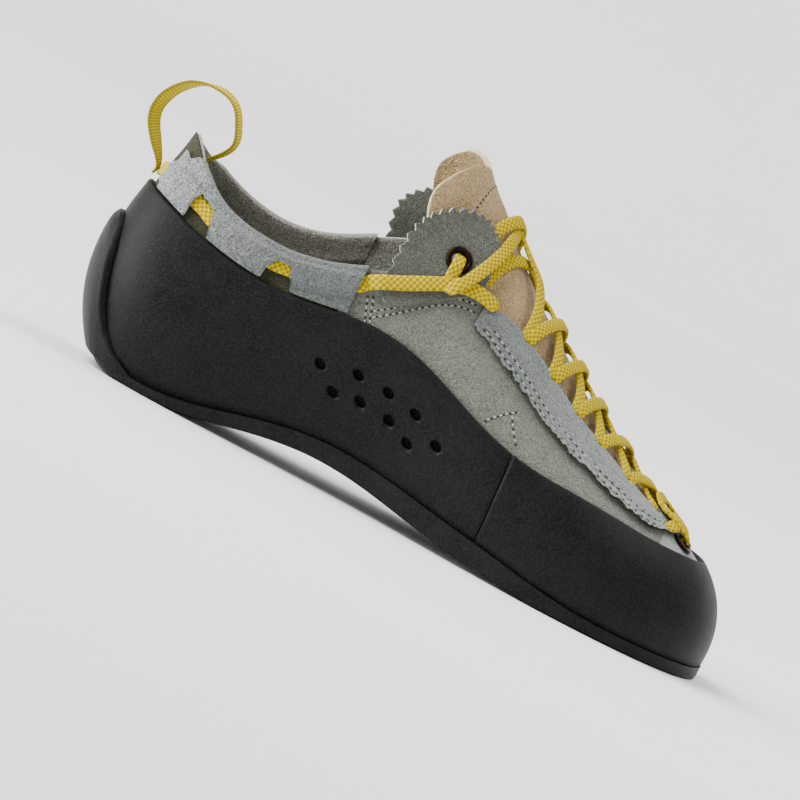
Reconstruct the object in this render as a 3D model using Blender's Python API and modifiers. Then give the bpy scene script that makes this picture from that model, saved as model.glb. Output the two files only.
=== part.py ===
"""Lace-up climbing shoe for the right foot, empty and standing on its sole.

The frame: +X towards the toe, +Y towards the inner side of the foot, +Z up, in metres. The origin is
the centre of the flat spot under the heel. Each piece is one object, and each is worked out from one
surface, the outside of the suede upper, which is a loft of sections round the foot.
"""

import math

import bmesh
import bpy
import numpy as np
from mathutils import Matrix, Vector

# Driving sizes of the shoe
LENGTH = 0.250  # heel to toe, over the rubber
BALL_WIDTH = 0.085  # over the rubber, at the ball
COLLAR_HEIGHT = 0.0803  # sole's top to the collar's peak at the back
INSTEP_HEIGHT = 0.0775  # sole's top to the upper end of the throat
CREST_HEIGHT = 0.1130  # sole's top to the tongue's ridge above the upper end of the throat
RAND_HEIGHT = 0.0590  # sole's top to the rubber's top edge at the back
ARCH_LIFT = 0.0095  # floor to the sole's underside at the outer arch
SOLE_THICKNESS = 0.0050

# Thicknesses and clearances of the sheets
UPPER_WALL = 0.0018
RAND_WALL = 0.0018
EYESTAY_WALL = 0.0013
EAR_WALL = 0.0014
CUFF_WALL = 0.0011
TONGUE_WALL = 0.0020
INSOLE_WALL = 0.0020
GAP = 0.0003  # between pieces that touch

# Lace, loop and eyelets
LACE_WIDTH = 0.0055
LACE_THICKNESS = 0.0015
LOOP_WIDTH = 0.0075
LOOP_THICKNESS = 0.0011
EYELET_HOLE_RADIUS = 0.0027
EYELET_BARREL_WALL = 0.0005
EYELET_FLANGE_RADIUS = 0.0048
EYELET_FLANGE_THICKNESS = 0.0009

HEEL_REST_ALONG = 0.140  # the origin's place, as a share of LENGTH from the back
OUTER = -1
INNER = 1

# The sections, heel to toe, as shares of the sizes above. "along" and "out" place the feather edge,
# where the upper meets the sole. "lift" and "thick" are the sole's underside and its edge. The "top"
# columns place the collar's or the throat's edge. "rand" is the rubber's top edge. The leans are
# degrees from upright, outwards at the feather edge and inwards at the top edge.
COLUMNS = ("along", "out", "lift", "thick", "top_along", "top_out", "top_high", "rand", "lean_low", "lean_top")
HEEL_SECTION = (0.062, 0.0, 0.38, 0.90, 0.044, 0.0, COLLAR_HEIGHT, 1.00, 38, 9)
OUTER_SECTIONS = (
    (0.076, -0.171, 0.22, 0.90, 0.058, -0.130, 0.968 * COLLAR_HEIGHT, 0.96, 36, 10),
    (0.124, -0.271, 0.00, 0.88, 0.106, -0.238, 0.822 * COLLAR_HEIGHT, 0.88, 30, 6),
    (0.200, -0.300, 0.14, 0.92, 0.184, -0.300, 0.750 * COLLAR_HEIGHT, 0.82, 24, 1),
    (0.288, -0.306, 0.65, 1.05, 0.272, -0.335, 0.775 * COLLAR_HEIGHT, 0.83, 18, 0),
    (0.380, -0.318, 1.00, 1.20, 0.360, -0.338, 0.885 * COLLAR_HEIGHT, 0.885, 13, 8),
    (0.472, -0.341, 0.87, 1.38, 0.450, -0.300, 1.000 * INSTEP_HEIGHT, 0.845, 12, 22),
    (0.564, -0.388, 0.50, 1.54, 0.548, -0.256, 0.950 * INSTEP_HEIGHT, 0.705, 15, 36),
    (0.652, -0.436, 0.28, 1.42, 0.642, -0.218, 0.790 * INSTEP_HEIGHT, 0.605, 18, 48),
    (0.740, -0.459, 0.08, 1.20, 0.728, -0.185, 0.655 * INSTEP_HEIGHT, 0.578, 18, 56),
    (0.824, -0.424, 0.00, 1.05, 0.802, -0.150, 0.553 * INSTEP_HEIGHT, 0.548, 16, 62),
    (0.904, -0.312, 0.00, 1.00, 0.838, -0.106, 0.515 * INSTEP_HEIGHT, 0.536, 12, 66),
    (0.962, -0.106, 0.00, 1.00, 0.850, -0.052, 0.510 * INSTEP_HEIGHT, 0.530, 7, 68),
)
TOE_SECTION = (0.984, 0.135, 0.03, 1.00, 0.854, 0.010, 0.513 * INSTEP_HEIGHT, 0.525, 4, 68)
INNER_SECTIONS = (
    (0.076, 0.165, 0.22, 0.90, 0.058, 0.130, 0.962 * COLLAR_HEIGHT, 0.96, 36, 10),
    (0.124, 0.259, 0.00, 0.88, 0.106, 0.238, 0.888 * COLLAR_HEIGHT, 0.90, 28, 6),
    (0.200, 0.276, 0.26, 0.92, 0.184, 0.300, 0.820 * COLLAR_HEIGHT, 0.86, 20, 1),
    (0.288, 0.253, 0.95, 1.05, 0.270, 0.330, 0.855 * COLLAR_HEIGHT, 0.88, 14, 0),
    (0.380, 0.241, 1.42, 1.15, 0.354, 0.332, 0.990 * COLLAR_HEIGHT, 0.93, 4, 8),
    (0.472, 0.259, 1.30, 1.20, 0.444, 0.300, 1.095 * INSTEP_HEIGHT, 0.90, -2, 22),
    (0.564, 0.318, 0.84, 1.20, 0.542, 0.259, 1.035 * INSTEP_HEIGHT, 0.77, 2, 36),
    (0.652, 0.394, 0.42, 1.15, 0.636, 0.224, 0.860 * INSTEP_HEIGHT, 0.66, 10, 48),
    (0.740, 0.441, 0.12, 1.08, 0.724, 0.200, 0.725 * INSTEP_HEIGHT, 0.61, 16, 56),
    (0.824, 0.459, 0.00, 1.02, 0.802, 0.180, 0.595 * INSTEP_HEIGHT, 0.57, 18, 62),
    (0.908, 0.429, 0.00, 1.00, 0.838, 0.140, 0.535 * INSTEP_HEIGHT, 0.545, 14, 66),
    (0.970, 0.312, 0.00, 1.00, 0.850, 0.082, 0.515 * INSTEP_HEIGHT, 0.535, 8, 68),
)
SIDE_COUNT = len(OUTER_SECTIONS) + 1  # the toe's place in the loop of sections
LOOP_COUNT = 2 * SIDE_COUNT
PULL_LOW = 0.42  # how far a section keeps its lean, as a share of its chord
PULL_TOP = 0.36

# The foot's ridge over the open throat, section number against share of CREST_HEIGHT
CREST = ((4.0, 1.300), (5.0, 1.150), (6.0, 0.985), (7.0, 0.790), (8.0, 0.640),
         (9.0, 0.515), (10.0, 0.425), (11.0, 0.372), (12.0, 0.358), (13.0, 0.354))


# How the ankle lace lies under the collar's rim, on which the rubber's top edge also depends
LACE_DROP = ((0, 0.210), (0.6, 0.200), (1.0, 0.180), (1.5, 0.125), (2.0, 0.082), (3.0, 0.060), (4.0, 0.060),
             (5.0, 0.078), (13.0, 0.078))  # lace's middle below the rim, as a share of COLLAR_HEIGHT
LACE_TO_RAND = 0.0010
LACE_LAST_SECTION = 5  # beyond it the rubber keeps its own height


def along_table(table, t):
    """Value from a short table of section number against value; the two sides are alike."""
    t = np.abs((np.asarray(t, float) + SIDE_COUNT) % LOOP_COUNT - SIDE_COUNT)
    places, values = np.array(table, float).T
    return np.interp(t, places, values)


def rand_heights(shares, top_heights):
    """The rubber's top edge at each section, which stays clear under the ankle lace."""
    number = np.arange(LOOP_COUNT)
    own = shares * RAND_HEIGHT
    lace_foot = top_heights - along_table(LACE_DROP, number) * COLLAR_HEIGHT - LACE_WIDTH / 2 - LACE_TO_RAND
    beside_lace = np.minimum(number, LOOP_COUNT - number) <= LACE_LAST_SECTION
    return np.where(beside_lace, np.minimum(own, lace_foot), own) + SOLE_THICKNESS


def loop_of_sections():
    """All sections in one loop: heel, outer side, toe, inner side back to the heel."""
    rows = [HEEL_SECTION, *OUTER_SECTIONS, TOE_SECTION, *reversed(INNER_SECTIONS)]
    table = {name: np.array([row[i] for row in rows], float) for i, name in enumerate(COLUMNS)}
    lift = table["lift"] * ARCH_LIFT
    thick = table["thick"] * SOLE_THICKNESS
    return np.column_stack([
        (table["along"] - HEEL_REST_ALONG) * LENGTH,
        table["out"] * BALL_WIDTH,
        lift + thick + GAP,
        (table["top_along"] - HEEL_REST_ALONG) * LENGTH,
        table["top_out"] * BALL_WIDTH,
        table["top_high"] + SOLE_THICKNESS,
        np.radians(table["lean_low"]),
        np.radians(table["lean_top"]),
        lift,
        thick,
        rand_heights(table["rand"], table["top_high"]),
    ])


def spline_slopes(values, closed):
    """Slopes at the knots of the smooth curve through evenly spaced values."""
    n = len(values)
    matrix = np.zeros((n, n))
    right = np.zeros_like(values)
    for i in range(n):
        before, after = (i - 1) % n, (i + 1) % n
        if closed or 0 < i < n - 1:
            matrix[i, [before, i, after]] += (1, 4, 1)
            right[i] = 3 * (values[after] - values[before])
        else:
            inner = after if i == 0 else before
            matrix[i, [i, inner]] += (2, 1)
            right[i] = 3 * (values[inner] - values[i]) * (1 if i == 0 else -1)
    return np.linalg.solve(matrix, right)


def spline_value(values, slopes, at, closed):
    """The smooth curve through the values, at a place counted in knots."""
    n = len(values)
    at = np.asarray(at, float)
    start = np.floor(at).astype(int) if closed else np.clip(np.floor(at).astype(int), 0, n - 2)
    f = (at - start)[..., None]
    a, b = start % n, (start + 1) % n
    return (values[a] * (1 + 2 * f) * (1 - f) ** 2 + values[b] * f * f * (3 - 2 * f)
            + slopes[a] * f * (1 - f) ** 2 + slopes[b] * f * f * (f - 1))


SECTIONS = loop_of_sections()
SECTION_SLOPES = spline_slopes(SECTIONS, closed=True)
CREST_VALUES = np.array([[share * CREST_HEIGHT + SOLE_THICKNESS] for _, share in CREST])
CREST_SLOPES = spline_slopes(CREST_VALUES, closed=False)


def section_at(t):
    return spline_value(SECTIONS, SECTION_SLOPES, np.asarray(t, float) % LOOP_COUNT, closed=True)


def plan_normal(t):
    """Unit vector in plan, square to the feather edge and pointing out of the shoe."""
    step = 0.01
    run = section_at(np.asarray(t) + step)[..., :2] - section_at(np.asarray(t) - step)[..., :2]
    out = np.stack([run[..., 1], -run[..., 0]], axis=-1)
    return out / np.linalg.norm(out, axis=-1, keepdims=True)


def section_frame(t):
    """Feather edge, top edge, and the directions in which the section leaves and reaches them."""
    values = section_at(t)
    out = plan_normal(t)
    low, top = values[..., 0:3], values[..., 3:6]
    lean_low, lean_top = values[..., 6:7], values[..., 7:8]
    leave = np.concatenate([out * np.sin(lean_low), np.cos(lean_low)], axis=-1)
    reach = np.concatenate([-out * np.sin(lean_top), np.cos(lean_top)], axis=-1)
    return low, top, leave, reach


def bezier(a, b, c, d, f):
    f = np.asarray(f)[..., None]
    return a * (1 - f) ** 3 + 3 * b * f * (1 - f) ** 2 + 3 * c * f * f * (1 - f) + d * f ** 3


def raw_wall(t, v):
    low, top, leave, reach = section_frame(t)
    chord = np.linalg.norm(top - low, axis=-1, keepdims=True)
    return bezier(low, low + leave * chord * PULL_LOW, top - reach * chord * PULL_TOP, top, v)


def raw_bridge(r, b):
    """The foot's back between the throat's edges: b is 0 at the outer edge and 1 at the inner one."""
    _, outer, _, outer_way = section_frame(r)
    _, inner, _, inner_way = section_frame(LOOP_COUNT - np.asarray(r))
    crest = spline_value(CREST_VALUES, CREST_SLOPES, np.asarray(r) - CREST[0][0], closed=False)
    rise = 8 * crest - 4 * (outer[..., 2:3] + inner[..., 2:3])
    handle = rise / (3 * (outer_way[..., 2:3] + inner_way[..., 2:3]))
    return bezier(outer, outer + outer_way * handle, inner + inner_way * handle, inner, b)


def raw_arch(r, a):
    """One whole section over the foot: 0 to 1 outer wall, 1 to 2 over the throat, 2 to 3 inner wall."""
    r, a = np.broadcast_arrays(np.asarray(r, float), np.asarray(a, float))
    outer = raw_wall(r, np.minimum(a, 1.0))
    inner = raw_wall(LOOP_COUNT - r, np.minimum(3.0 - a, 1.0))
    over = raw_bridge(np.maximum(r, CREST[0][0]), np.clip(a - 1.0, 0.0, 1.0))
    a = a[..., None]
    return np.where(a <= 1.0, outer, np.where(a >= 2.0, inner, over))


def offset(surface, p, q, out):
    """Points at a distance from a surface, along its normal."""
    dp, dq = 0.02, 0.01
    p, q = np.broadcast_arrays(np.asarray(p, float), np.asarray(q, float))
    normal = np.cross(surface(p + dp, q) - surface(p - dp, q), surface(p, q + dq) - surface(p, q - dq))
    normal /= np.linalg.norm(normal, axis=-1, keepdims=True)
    return surface(p, q) + normal * np.asarray(out, float)[..., None]


def wall(t, v, out=0.0):
    return offset(raw_wall, t, v, out)


def arch(r, a, out=0.0):
    return offset(raw_arch, r, a, out)


def wall_share(t, target, by_height=True):
    """Share up the wall at a height above the floor or, by length, at a distance below the top edge."""
    t = np.atleast_1d(np.asarray(t, float))
    target = np.broadcast_to(np.asarray(target, float), t.shape)
    shares = np.linspace(0, 1, 41)
    points = raw_wall(t[:, None], shares[None, :])
    if by_height:
        scale = points[..., 2]
    else:
        steps = np.linalg.norm(np.diff(points, axis=1), axis=-1)
        run = np.concatenate([np.zeros((len(t), 1)), np.cumsum(steps, axis=1)], axis=1)
        scale, target = run, run[:, -1] - target
    return np.array([np.interp(goal, row, shares) for goal, row in zip(target, scale)])


def side_place(side, x, z):
    """Section number and share of the arch where a side has these x and z."""
    r, a = np.meshgrid(np.linspace(0.3, 12.7, 125), np.linspace(0.02, 1.48, 74), indexing="ij")
    arch_share = a if side == OUTER else 3.0 - a
    points = raw_arch(r, arch_share)
    usable = (a <= 1.0) | (r >= CREST[0][0])
    far = np.where(usable, np.hypot(points[..., 0] - x, points[..., 2] - z), np.inf)
    i, j = np.unravel_index(np.argmin(far), far.shape)
    place = np.array([r[i, j], arch_share[i, j]])
    for _ in range(4):
        here = raw_arch(*place)[[0, 2]]
        step = 0.005
        slope = np.column_stack([
            (raw_arch(place[0] + step, place[1])[[0, 2]] - here) / step,
            (raw_arch(place[0], place[1] + step)[[0, 2]] - here) / step,
        ])
        place = place + np.linalg.solve(slope, np.array([x, z]) - here)
    return place


def material(name, colour, roughness, metallic=0.0):
    made = bpy.data.materials.get(name) or bpy.data.materials.new(name)
    made.use_nodes = True
    shader = made.node_tree.nodes["Principled BSDF"]
    shader.inputs["Base Color"].default_value = (*colour, 1.0)
    shader.inputs["Roughness"].default_value = roughness
    shader.inputs["Metallic"].default_value = metallic
    return made


def collection(name, shown=True):
    made = bpy.data.collections.new(name)
    made.hide_render = not shown
    bpy.context.scene.collection.children.link(made)
    return made


def new_object(name, points, faces, finish, where, smooth=True):
    mesh = bpy.data.meshes.new(name)
    mesh.from_pydata([tuple(p) for p in points], [], faces)
    mesh.validate()
    if smooth:
        mesh.shade_smooth()
    mesh.materials.append(finish)
    made = bpy.data.objects.new(name, mesh)
    where.objects.link(made)
    return made


def grid_faces(rows, columns, closed_rows=False, start=0):
    """Quads of a grid whose rows run along p and whose columns run along q."""
    faces = []
    for i in range(rows if closed_rows else rows - 1):
        k = (i + 1) % rows
        for j in range(columns - 1):
            faces.append(tuple(start + n for n in (
                i * columns + j, k * columns + j, k * columns + j + 1, i * columns + j + 1)))
    return faces


def sheet(name, points, thickness, finish, where, outwards=True, closed=False):
    """A sheet of even thickness on a grid of points, which lies on its own first face."""
    rows, columns = points.shape[:2]
    made = new_object(name, points.reshape(-1, 3), grid_faces(rows, columns, closed), finish, where)
    solid = made.modifiers.new("thickness", "SOLIDIFY")
    solid.thickness = thickness
    solid.offset = 1.0 if outwards else -1.0
    solid.use_even_offset = True
    return made


def two_face_sheet(name, inner, outer, finish, where, closed=False):
    """A sheet between two grids of points, for one whose thickness varies."""
    rows, columns = inner.shape[:2]
    count = rows * columns
    faces = [face[::-1] for face in grid_faces(rows, columns, closed)]
    faces += grid_faces(rows, columns, closed, start=count)
    along = range(rows if closed else rows - 1)
    for j, flip in ((0, False), (columns - 1, True)):
        for i in along:
            k = (i + 1) % rows
            quad = (i * columns + j, k * columns + j, count + k * columns + j, count + i * columns + j)
            faces.append(quad[::-1] if flip else quad)
    if not closed:
        for i, flip in ((0, True), (rows - 1, False)):
            for j in range(columns - 1):
                quad = (i * columns + j, i * columns + j + 1, count + i * columns + j + 1, count + i * columns + j)
                faces.append(quad[::-1] if flip else quad)
    points = np.concatenate([inner.reshape(-1, 3), outer.reshape(-1, 3)])
    return tidy(new_object(name, points, faces, finish, where))


def tidy(made):
    """Welds points that fall together and turns all faces outwards."""
    work = bmesh.new()
    work.from_mesh(made.data)
    bmesh.ops.remove_doubles(work, verts=work.verts, dist=1e-6)
    bmesh.ops.dissolve_degenerate(work, edges=work.edges, dist=1e-7)
    bmesh.ops.recalc_face_normals(work, faces=work.faces)
    work.to_mesh(made.data)
    work.free()
    return made


def cut(made, cutter):
    cutter.display_type = "WIRE"
    cutter.hide_render = True
    tool = made.modifiers.new("cut " + cutter.name, "BOOLEAN")
    tool.operation = "DIFFERENCE"
    tool.solver = "EXACT"
    tool.object = cutter


def side_rows():
    """Places of the rows along one side, closer together round the heel and the toe."""
    heel = (0, 0.2, 0.4, 0.6, 0.75, 0.9, 1.0, 1.1, 1.25, 1.5, 1.75)
    toe = (12.25, 12.5, 12.75, 13.0)
    return np.array([*heel, *np.arange(2.0, 12.25, 0.5), *toe])


def rows_between(first, last):
    """Row places from first to last, which may run through the heel at 0 or the toe at 13."""
    side = side_rows()
    everywhere = np.unique(np.concatenate([-side, side, LOOP_COUNT - side]).round(6))
    inner = everywhere[(everywhere > first + 0.01) & (everywhere < last - 0.01)]
    return np.array([first, *inner, last])


def over_foot(r, side):
    return r if side == OUTER else LOOP_COUNT - r


# Sole

# How high the sole's rubber comes up at the back, and how far it stands out, section by section
CAP_HEIGHT = 0.0420  # above the feather edge
CAP_WALL = 0.0028
CAP_EDGE = ((0, 1.0), (0.4, 0.99), (0.6, 0.95), (0.75, 0.89), (0.9, 0.76), (1.0, 0.58), (1.1, 0.36),
            (1.25, 0.19), (1.5, 0.09), (1.75, 0.04), (2.0, 0.0), (13.0, 0.0))
CAP_FULL = ((0, 1.0), (0.9, 1.0), (1.1, 0.85), (1.25, 0.62), (1.5, 0.36), (1.75, 0.16), (2.0, 0.0), (13.0, 0.0))
CAP_STEPS = 6
SOLE_EDGE_ROUND = 0.0008
FLAT_SPOT = 0.0009  # what the arch loses at its ends, so that heel and forefoot lie flat
RAND_OUTSIDE = GAP + RAND_WALL
CAP_INSIDE = RAND_OUTSIDE + GAP


def sole_rim(t):
    """The sole's points at one place of its edge, from the underside up and over to its top."""
    values = section_at(t)
    out = np.append(plan_normal(t), 0.0)
    low, lean, lift = values[0:3], values[6], max(values[8] - FLAT_SPOT, 0.0)
    full = float(along_table(CAP_FULL, t))
    top = float(wall_share(t, low[2] + float(along_table(CAP_EDGE, t)) * CAP_HEIGHT)[0]) if full > 0 else 0.0
    rim = CAP_INSIDE + CAP_WALL * full
    under = np.array([low[0], low[1], lift])
    drop = np.array([0.0, 0.0, GAP])
    shares = np.linspace(0, top, CAP_STEPS + 1)
    outer = wall(t, shares, rim) - drop
    outer[-1] = wall(t, top, CAP_INSIDE + 0.5 * CAP_WALL * full) - drop
    inner = wall(t, shares[::-1], CAP_INSIDE)
    inner[-1 if full > 0 else 0:] -= drop
    lean_room = rim * math.cos(lean) - SOLE_EDGE_ROUND * (1 + 1.5 * full)
    corner = under + out * lean_room + np.array([0.0, 0.0, 0.0004 + 0.0012 * full])
    side = np.array([outer[0][0], outer[0][1], max(lift + SOLE_EDGE_ROUND * 1.4, outer[0][2] - 0.9 * values[9])])
    side = side * (1 - full) + outer[0] * full
    tuck = low - drop
    return np.array([under, corner, side, *outer, *inner, tuck])


def outsole(where, finish):
    rows = side_rows()
    across = np.array([0.25, 0.5, 0.75])[:, None]
    points = []
    for r in rows:
        left, right = sole_rim(r), sole_rim(LOOP_COUNT - r)
        bottom = right[0] * (1 - across) + left[0] * across
        top = left[-1] * (1 - across) + right[-1] * across
        points.append(np.concatenate([left, top, right[::-1], bottom]))
    grid = np.array(points)
    grid = np.concatenate([grid, grid[:, :1]], axis=1)
    return tidy(new_object("outsole", grid.reshape(-1, 3), grid_faces(*grid.shape[:2]), finish, where))


def insole(where, finish):
    rows = side_rows()
    across = np.linspace(0, 1, 3)[:, None]
    points = []
    for r in rows:
        ends = []
        for t in (r, LOOP_COUNT - r):
            values = section_at(t)
            inset = UPPER_WALL / math.cos(values[6]) + 2 * GAP
            ends.append(values[0:3] - np.append(plan_normal(t), 0.0) * inset)
        if r in (0.0, float(SIDE_COUNT)):
            ends[1] = ends[0]
        left, right = ends
        bottom = left * (1 - across) + right * across
        top = bottom[::-1] + np.array([0.0, 0.0, INSOLE_WALL])
        points.append(np.concatenate([bottom, top, bottom[:1]]))
    grid = np.array(points)
    return tidy(new_object("insole", grid.reshape(-1, 3), grid_faces(*grid.shape[:2]), finish, where))


# Upper, with the holes for the two eyelets at the toe

RAND_STEPS = 4
UPPER_STEPS_ABOVE_RAND = 3


def rand_shares(rows):
    """Shares up the wall, row by row, from the feather edge to the rand's top edge."""
    top = wall_share(rows, section_at(rows)[:, 10])
    return top[:, None] * np.linspace(0, 1, RAND_STEPS + 1)[None, :]


def upper(where, finish):
    rows = rows_between(0.0, LOOP_COUNT)[:-1]
    covered = rand_shares(rows)
    above = np.linspace(0, 1, UPPER_STEPS_ABOVE_RAND + 1)[None, 1:]
    shares = np.concatenate([covered, covered[:, -1:] + (1 - covered[:, -1:]) * above], axis=1)
    return sheet("upper", wall(rows[:, None], shares), UPPER_WALL, finish, where, outwards=False, closed=True)


# Rand: the rubber band round the upper, in a rear and a toe piece

SEAM_SECTION = 7.75
SEAM_HALF = 0.007  # in sections, so that the pieces stand one gap apart


def rand_piece(name, first, last, where, finish):
    rows = rows_between(first, last)
    return sheet(name, wall(rows[:, None], rand_shares(rows), GAP), RAND_WALL, finish, where)


# Vents through the outer side of the rear rand, in the shoe's side view: along from the back, height
VENT_LENGTH = 0.0040
VENT_HEIGHT = 0.0025
VENTS = ((0.337, 0.0381), (0.389, 0.0409), (0.436, 0.0404), (0.482, 0.0384), (0.526, 0.0324),
         (0.369, 0.0319), (0.408, 0.0334), (0.454, 0.0325), (0.490, 0.0286))
VENT_SIDES = 8


def frame_at(place):
    """Matrix at a place given as section number and share of the arch: X runs forward, Z out of the shoe."""
    point = raw_arch(*place)
    normal = Vector(arch(*place, 1.0) - point).normalized()
    along = Vector((1.0, 0.0, 0.0))
    along = (along - normal * along.dot(normal)).normalized()
    basis = Matrix((along, normal.cross(along), normal)).transposed().to_4x4()
    return Matrix.Translation(Vector(point)) @ basis


def shoe_x(share):
    return (share - HEEL_REST_ALONG) * LENGTH


def drill(name, frames, half_long, half_high, depth, sides, where, finish):
    """Straight holes of oval section, joined in one cutter."""
    work = bmesh.new()
    for frame in frames:
        made = bmesh.ops.create_cone(work, cap_ends=True, segments=sides, radius1=1.0, radius2=1.0, depth=1.0)
        scale = Matrix.Diagonal((half_long, half_high, depth, 1.0))
        bmesh.ops.transform(work, matrix=frame @ scale, verts=made["verts"])
    mesh = bpy.data.meshes.new(name)
    work.to_mesh(mesh)
    work.free()
    mesh.materials.append(finish)
    made = bpy.data.objects.new(name, mesh)
    where.objects.link(made)
    return made


# Ankle lace and the cuff that holds it against the collar

CUFF_END = 4.70
CUFF_SHOULDER = 0.0022
CUFF_FOOT = 0.0007  # between the cuff's lower edge and the rand's top edge
CUFF_OPENINGS = (-3.55, -1.95, 0.0, 1.95, 3.55)  # section numbers where the cuff leaves the lace bare
CUFF_OPENING_HALF = 0.0052
OPENING_SHARES = (-1.25, -1.0, -0.7, 0.0, 0.7, 1.0, 1.25)  # rows at an opening, of its half width
CUFF_LEAST_STEP = 0.0003
CUFF_EASE = 0.0003  # added to the gap under the cuff, which is folded and not stretched
LACE_ROOM = LACE_THICKNESS + GAP


def rim_length(t):
    """Length along the collar's rim from the middle of the heel, by section number."""
    fine = np.linspace(-7, 7, 561)
    rim = section_at(fine)[:, 3:6]
    run = np.concatenate([[0.0], np.cumsum(np.linalg.norm(np.diff(rim, axis=0), axis=1))])
    return np.interp(t, fine, run - np.interp(0.0, fine, run))


def cuff_offset(drop, middle):
    """How far the cuff's inner face stands off the upper, over the lace and beside it."""
    beside = np.abs(drop - middle) - (LACE_WIDTH / 2 + GAP)
    return GAP + CUFF_EASE + LACE_ROOM * np.clip(1 - beside / CUFF_SHOULDER, 0, 1)


def cuff_rows():
    """Section numbers of the cuff's rows, closer together at the sides of its openings."""
    places = np.linspace(-CUFF_END, CUFF_END, 33)
    edges = []
    for middle in CUFF_OPENINGS:
        fine = np.linspace(middle - 1.2, middle + 1.2, 241)
        run = rim_length(fine) - rim_length(middle)
        edges.extend(np.interp(np.array(OPENING_SHARES) * CUFF_OPENING_HALF, run, fine))
        places = places[np.abs(rim_length(places) - rim_length(middle)) > 1.5 * CUFF_OPENING_HALF]
    return np.unique(np.concatenate([places, edges]))


def cuff(where, finish):
    inner, outer = [], []
    steps = np.arange(6) * CUFF_LEAST_STEP
    shares = np.linspace(0, 1, 61)
    for t in cuff_rows():
        line = raw_wall(t, shares)
        run = np.concatenate([[0.0], np.cumsum(np.linalg.norm(np.diff(line, axis=0), axis=1))])
        drop = run[-1] - run
        foot = float(np.interp(section_at(t)[10] + CUFF_FOOT, line[:, 2], drop))
        middle = float(along_table(LACE_DROP, t)) * COLLAR_HEIGHT
        half = LACE_WIDTH / 2 + GAP
        for opening in CUFF_OPENINGS:
            share = abs(rim_length(t) - rim_length(opening)) / CUFF_OPENING_HALF
            if share < 0.99:
                foot = max(middle - LACE_WIDTH * (0.56 - 0.30 * share ** 2), 8 * CUFF_LEAST_STEP)
            elif share < 1.05:
                foot = min(foot, middle + half + CUFF_LEAST_STEP)
        marks = np.array([0.0, middle - half - CUFF_SHOULDER, middle - half, middle + half,
                          middle + half + CUFF_SHOULDER, foot])
        drops = np.maximum(np.minimum(marks, foot - steps[::-1]), steps)
        at = np.interp(-drops, -drop, shares)[::-1]
        lift = cuff_offset(drops, middle)[::-1]
        inner.append(wall(t, at, lift))
        outer.append(wall(t, at, lift + CUFF_WALL))
    return two_face_sheet("cuff", np.array(inner), np.array(outer), finish, where)


def ribbon(path, normals, width, thickness):
    """Closed flat strip: its rings have four corners, and it lies outwards of its path."""
    along = np.gradient(path, axis=0)
    side = np.cross(along, normals)
    side /= np.linalg.norm(side, axis=1, keepdims=True)
    normals = np.cross(side, along)
    normals /= np.linalg.norm(normals, axis=1, keepdims=True)
    a = path - side * width / 2
    b = path + side * width / 2
    return np.stack([a, b, b + normals * thickness, a + normals * thickness], axis=1)


def ribbon_faces(count):
    last = 4 * (count - 1)
    faces = [(0, 1, 2, 3), (last + 3, last + 2, last + 1, last)]
    for i in range(count - 1):
        for j in range(4):
            k = (j + 1) % 4
            faces.append((4 * i + j, 4 * i + 4 + j, 4 * i + 4 + k, 4 * i + k))
    return faces


def smooth_path(points, count):
    """Points at even steps of a smooth curve through the given ones."""
    points = np.array(points, float)
    slopes = spline_slopes(points, closed=False)
    return spline_value(points, slopes, np.linspace(0, len(points) - 1, count), closed=False)


def surface_ribbon(places, lifts, count, width, thickness):
    """A strip lying over the foot, through places given as section number and share of the arch."""
    track = smooth_path([(*place, lift) for place, lift in zip(places, lifts)], count)
    path = arch(track[:, 0], track[:, 1], track[:, 2])
    normals = arch(track[:, 0], track[:, 1], track[:, 2] + 0.001) - path
    return ribbon(path, normals, width, thickness)


LACE_LEAVES = 4.74  # section number where the ankle lace starts to rise from the upper
# Its way forward: share along from the back, height over the floor, share of the lift over the ear
HITCH_LEAD = ((0.3435, 0.0694, 0.15), (0.3560, 0.0712, 1.05), (0.385, 0.0745, 1.0), (0.418, 0.0785, 1.0),
              (0.448, 0.0815, 1.0))
EAR_INNER_RISE = 0.0040  # the inner ear stands higher than the outer one
EAR_LIFT = GAP + 0.0003  # the flap's foot rides over the upper's rim


def ankle_lace(where, finish):
    """Flat lace: through the cuff's channel round the heel, and forward over both ears to the hitches."""
    over_ear = EAR_LIFT + EAR_WALL + GAP
    path, normals = [], []
    for side in (INNER, OUTER):
        rise = EAR_INNER_RISE if side == INNER else 0.0
        places = []
        for share, z, lift in HITCH_LEAD:
            places.append((*side_place(side, shoe_x(share), z + rise), GAP + (over_ear - GAP) * lift))
        places = smooth_path(places, 7)
        points = arch(places[:, 0], places[:, 1], places[:, 2])
        out = arch(places[:, 0], places[:, 1], places[:, 2] + 0.001) - points
        if side == INNER:
            path.append(points[::-1])
            normals.append(out[::-1])
            t = np.arange(-LACE_LEAVES, LACE_LEAVES + 0.01, LACE_LEAVES / 20)
            share = wall_share(t, along_table(LACE_DROP, t) * COLLAR_HEIGHT, by_height=False)
            path.append(wall(t, share, GAP))
            normals.append(wall(t, share, GAP + 0.001) - path[-1])
        else:
            path.append(points)
            normals.append(out)
    rings = ribbon(np.concatenate(path), np.concatenate(normals), LACE_WIDTH, LACE_THICKNESS)
    return tidy(new_object("lace_ankle", rings.reshape(-1, 3), ribbon_faces(len(rings)), finish, where))


# Ears: pinked flaps beside the tongue, each with the uppermost eyelet

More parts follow.
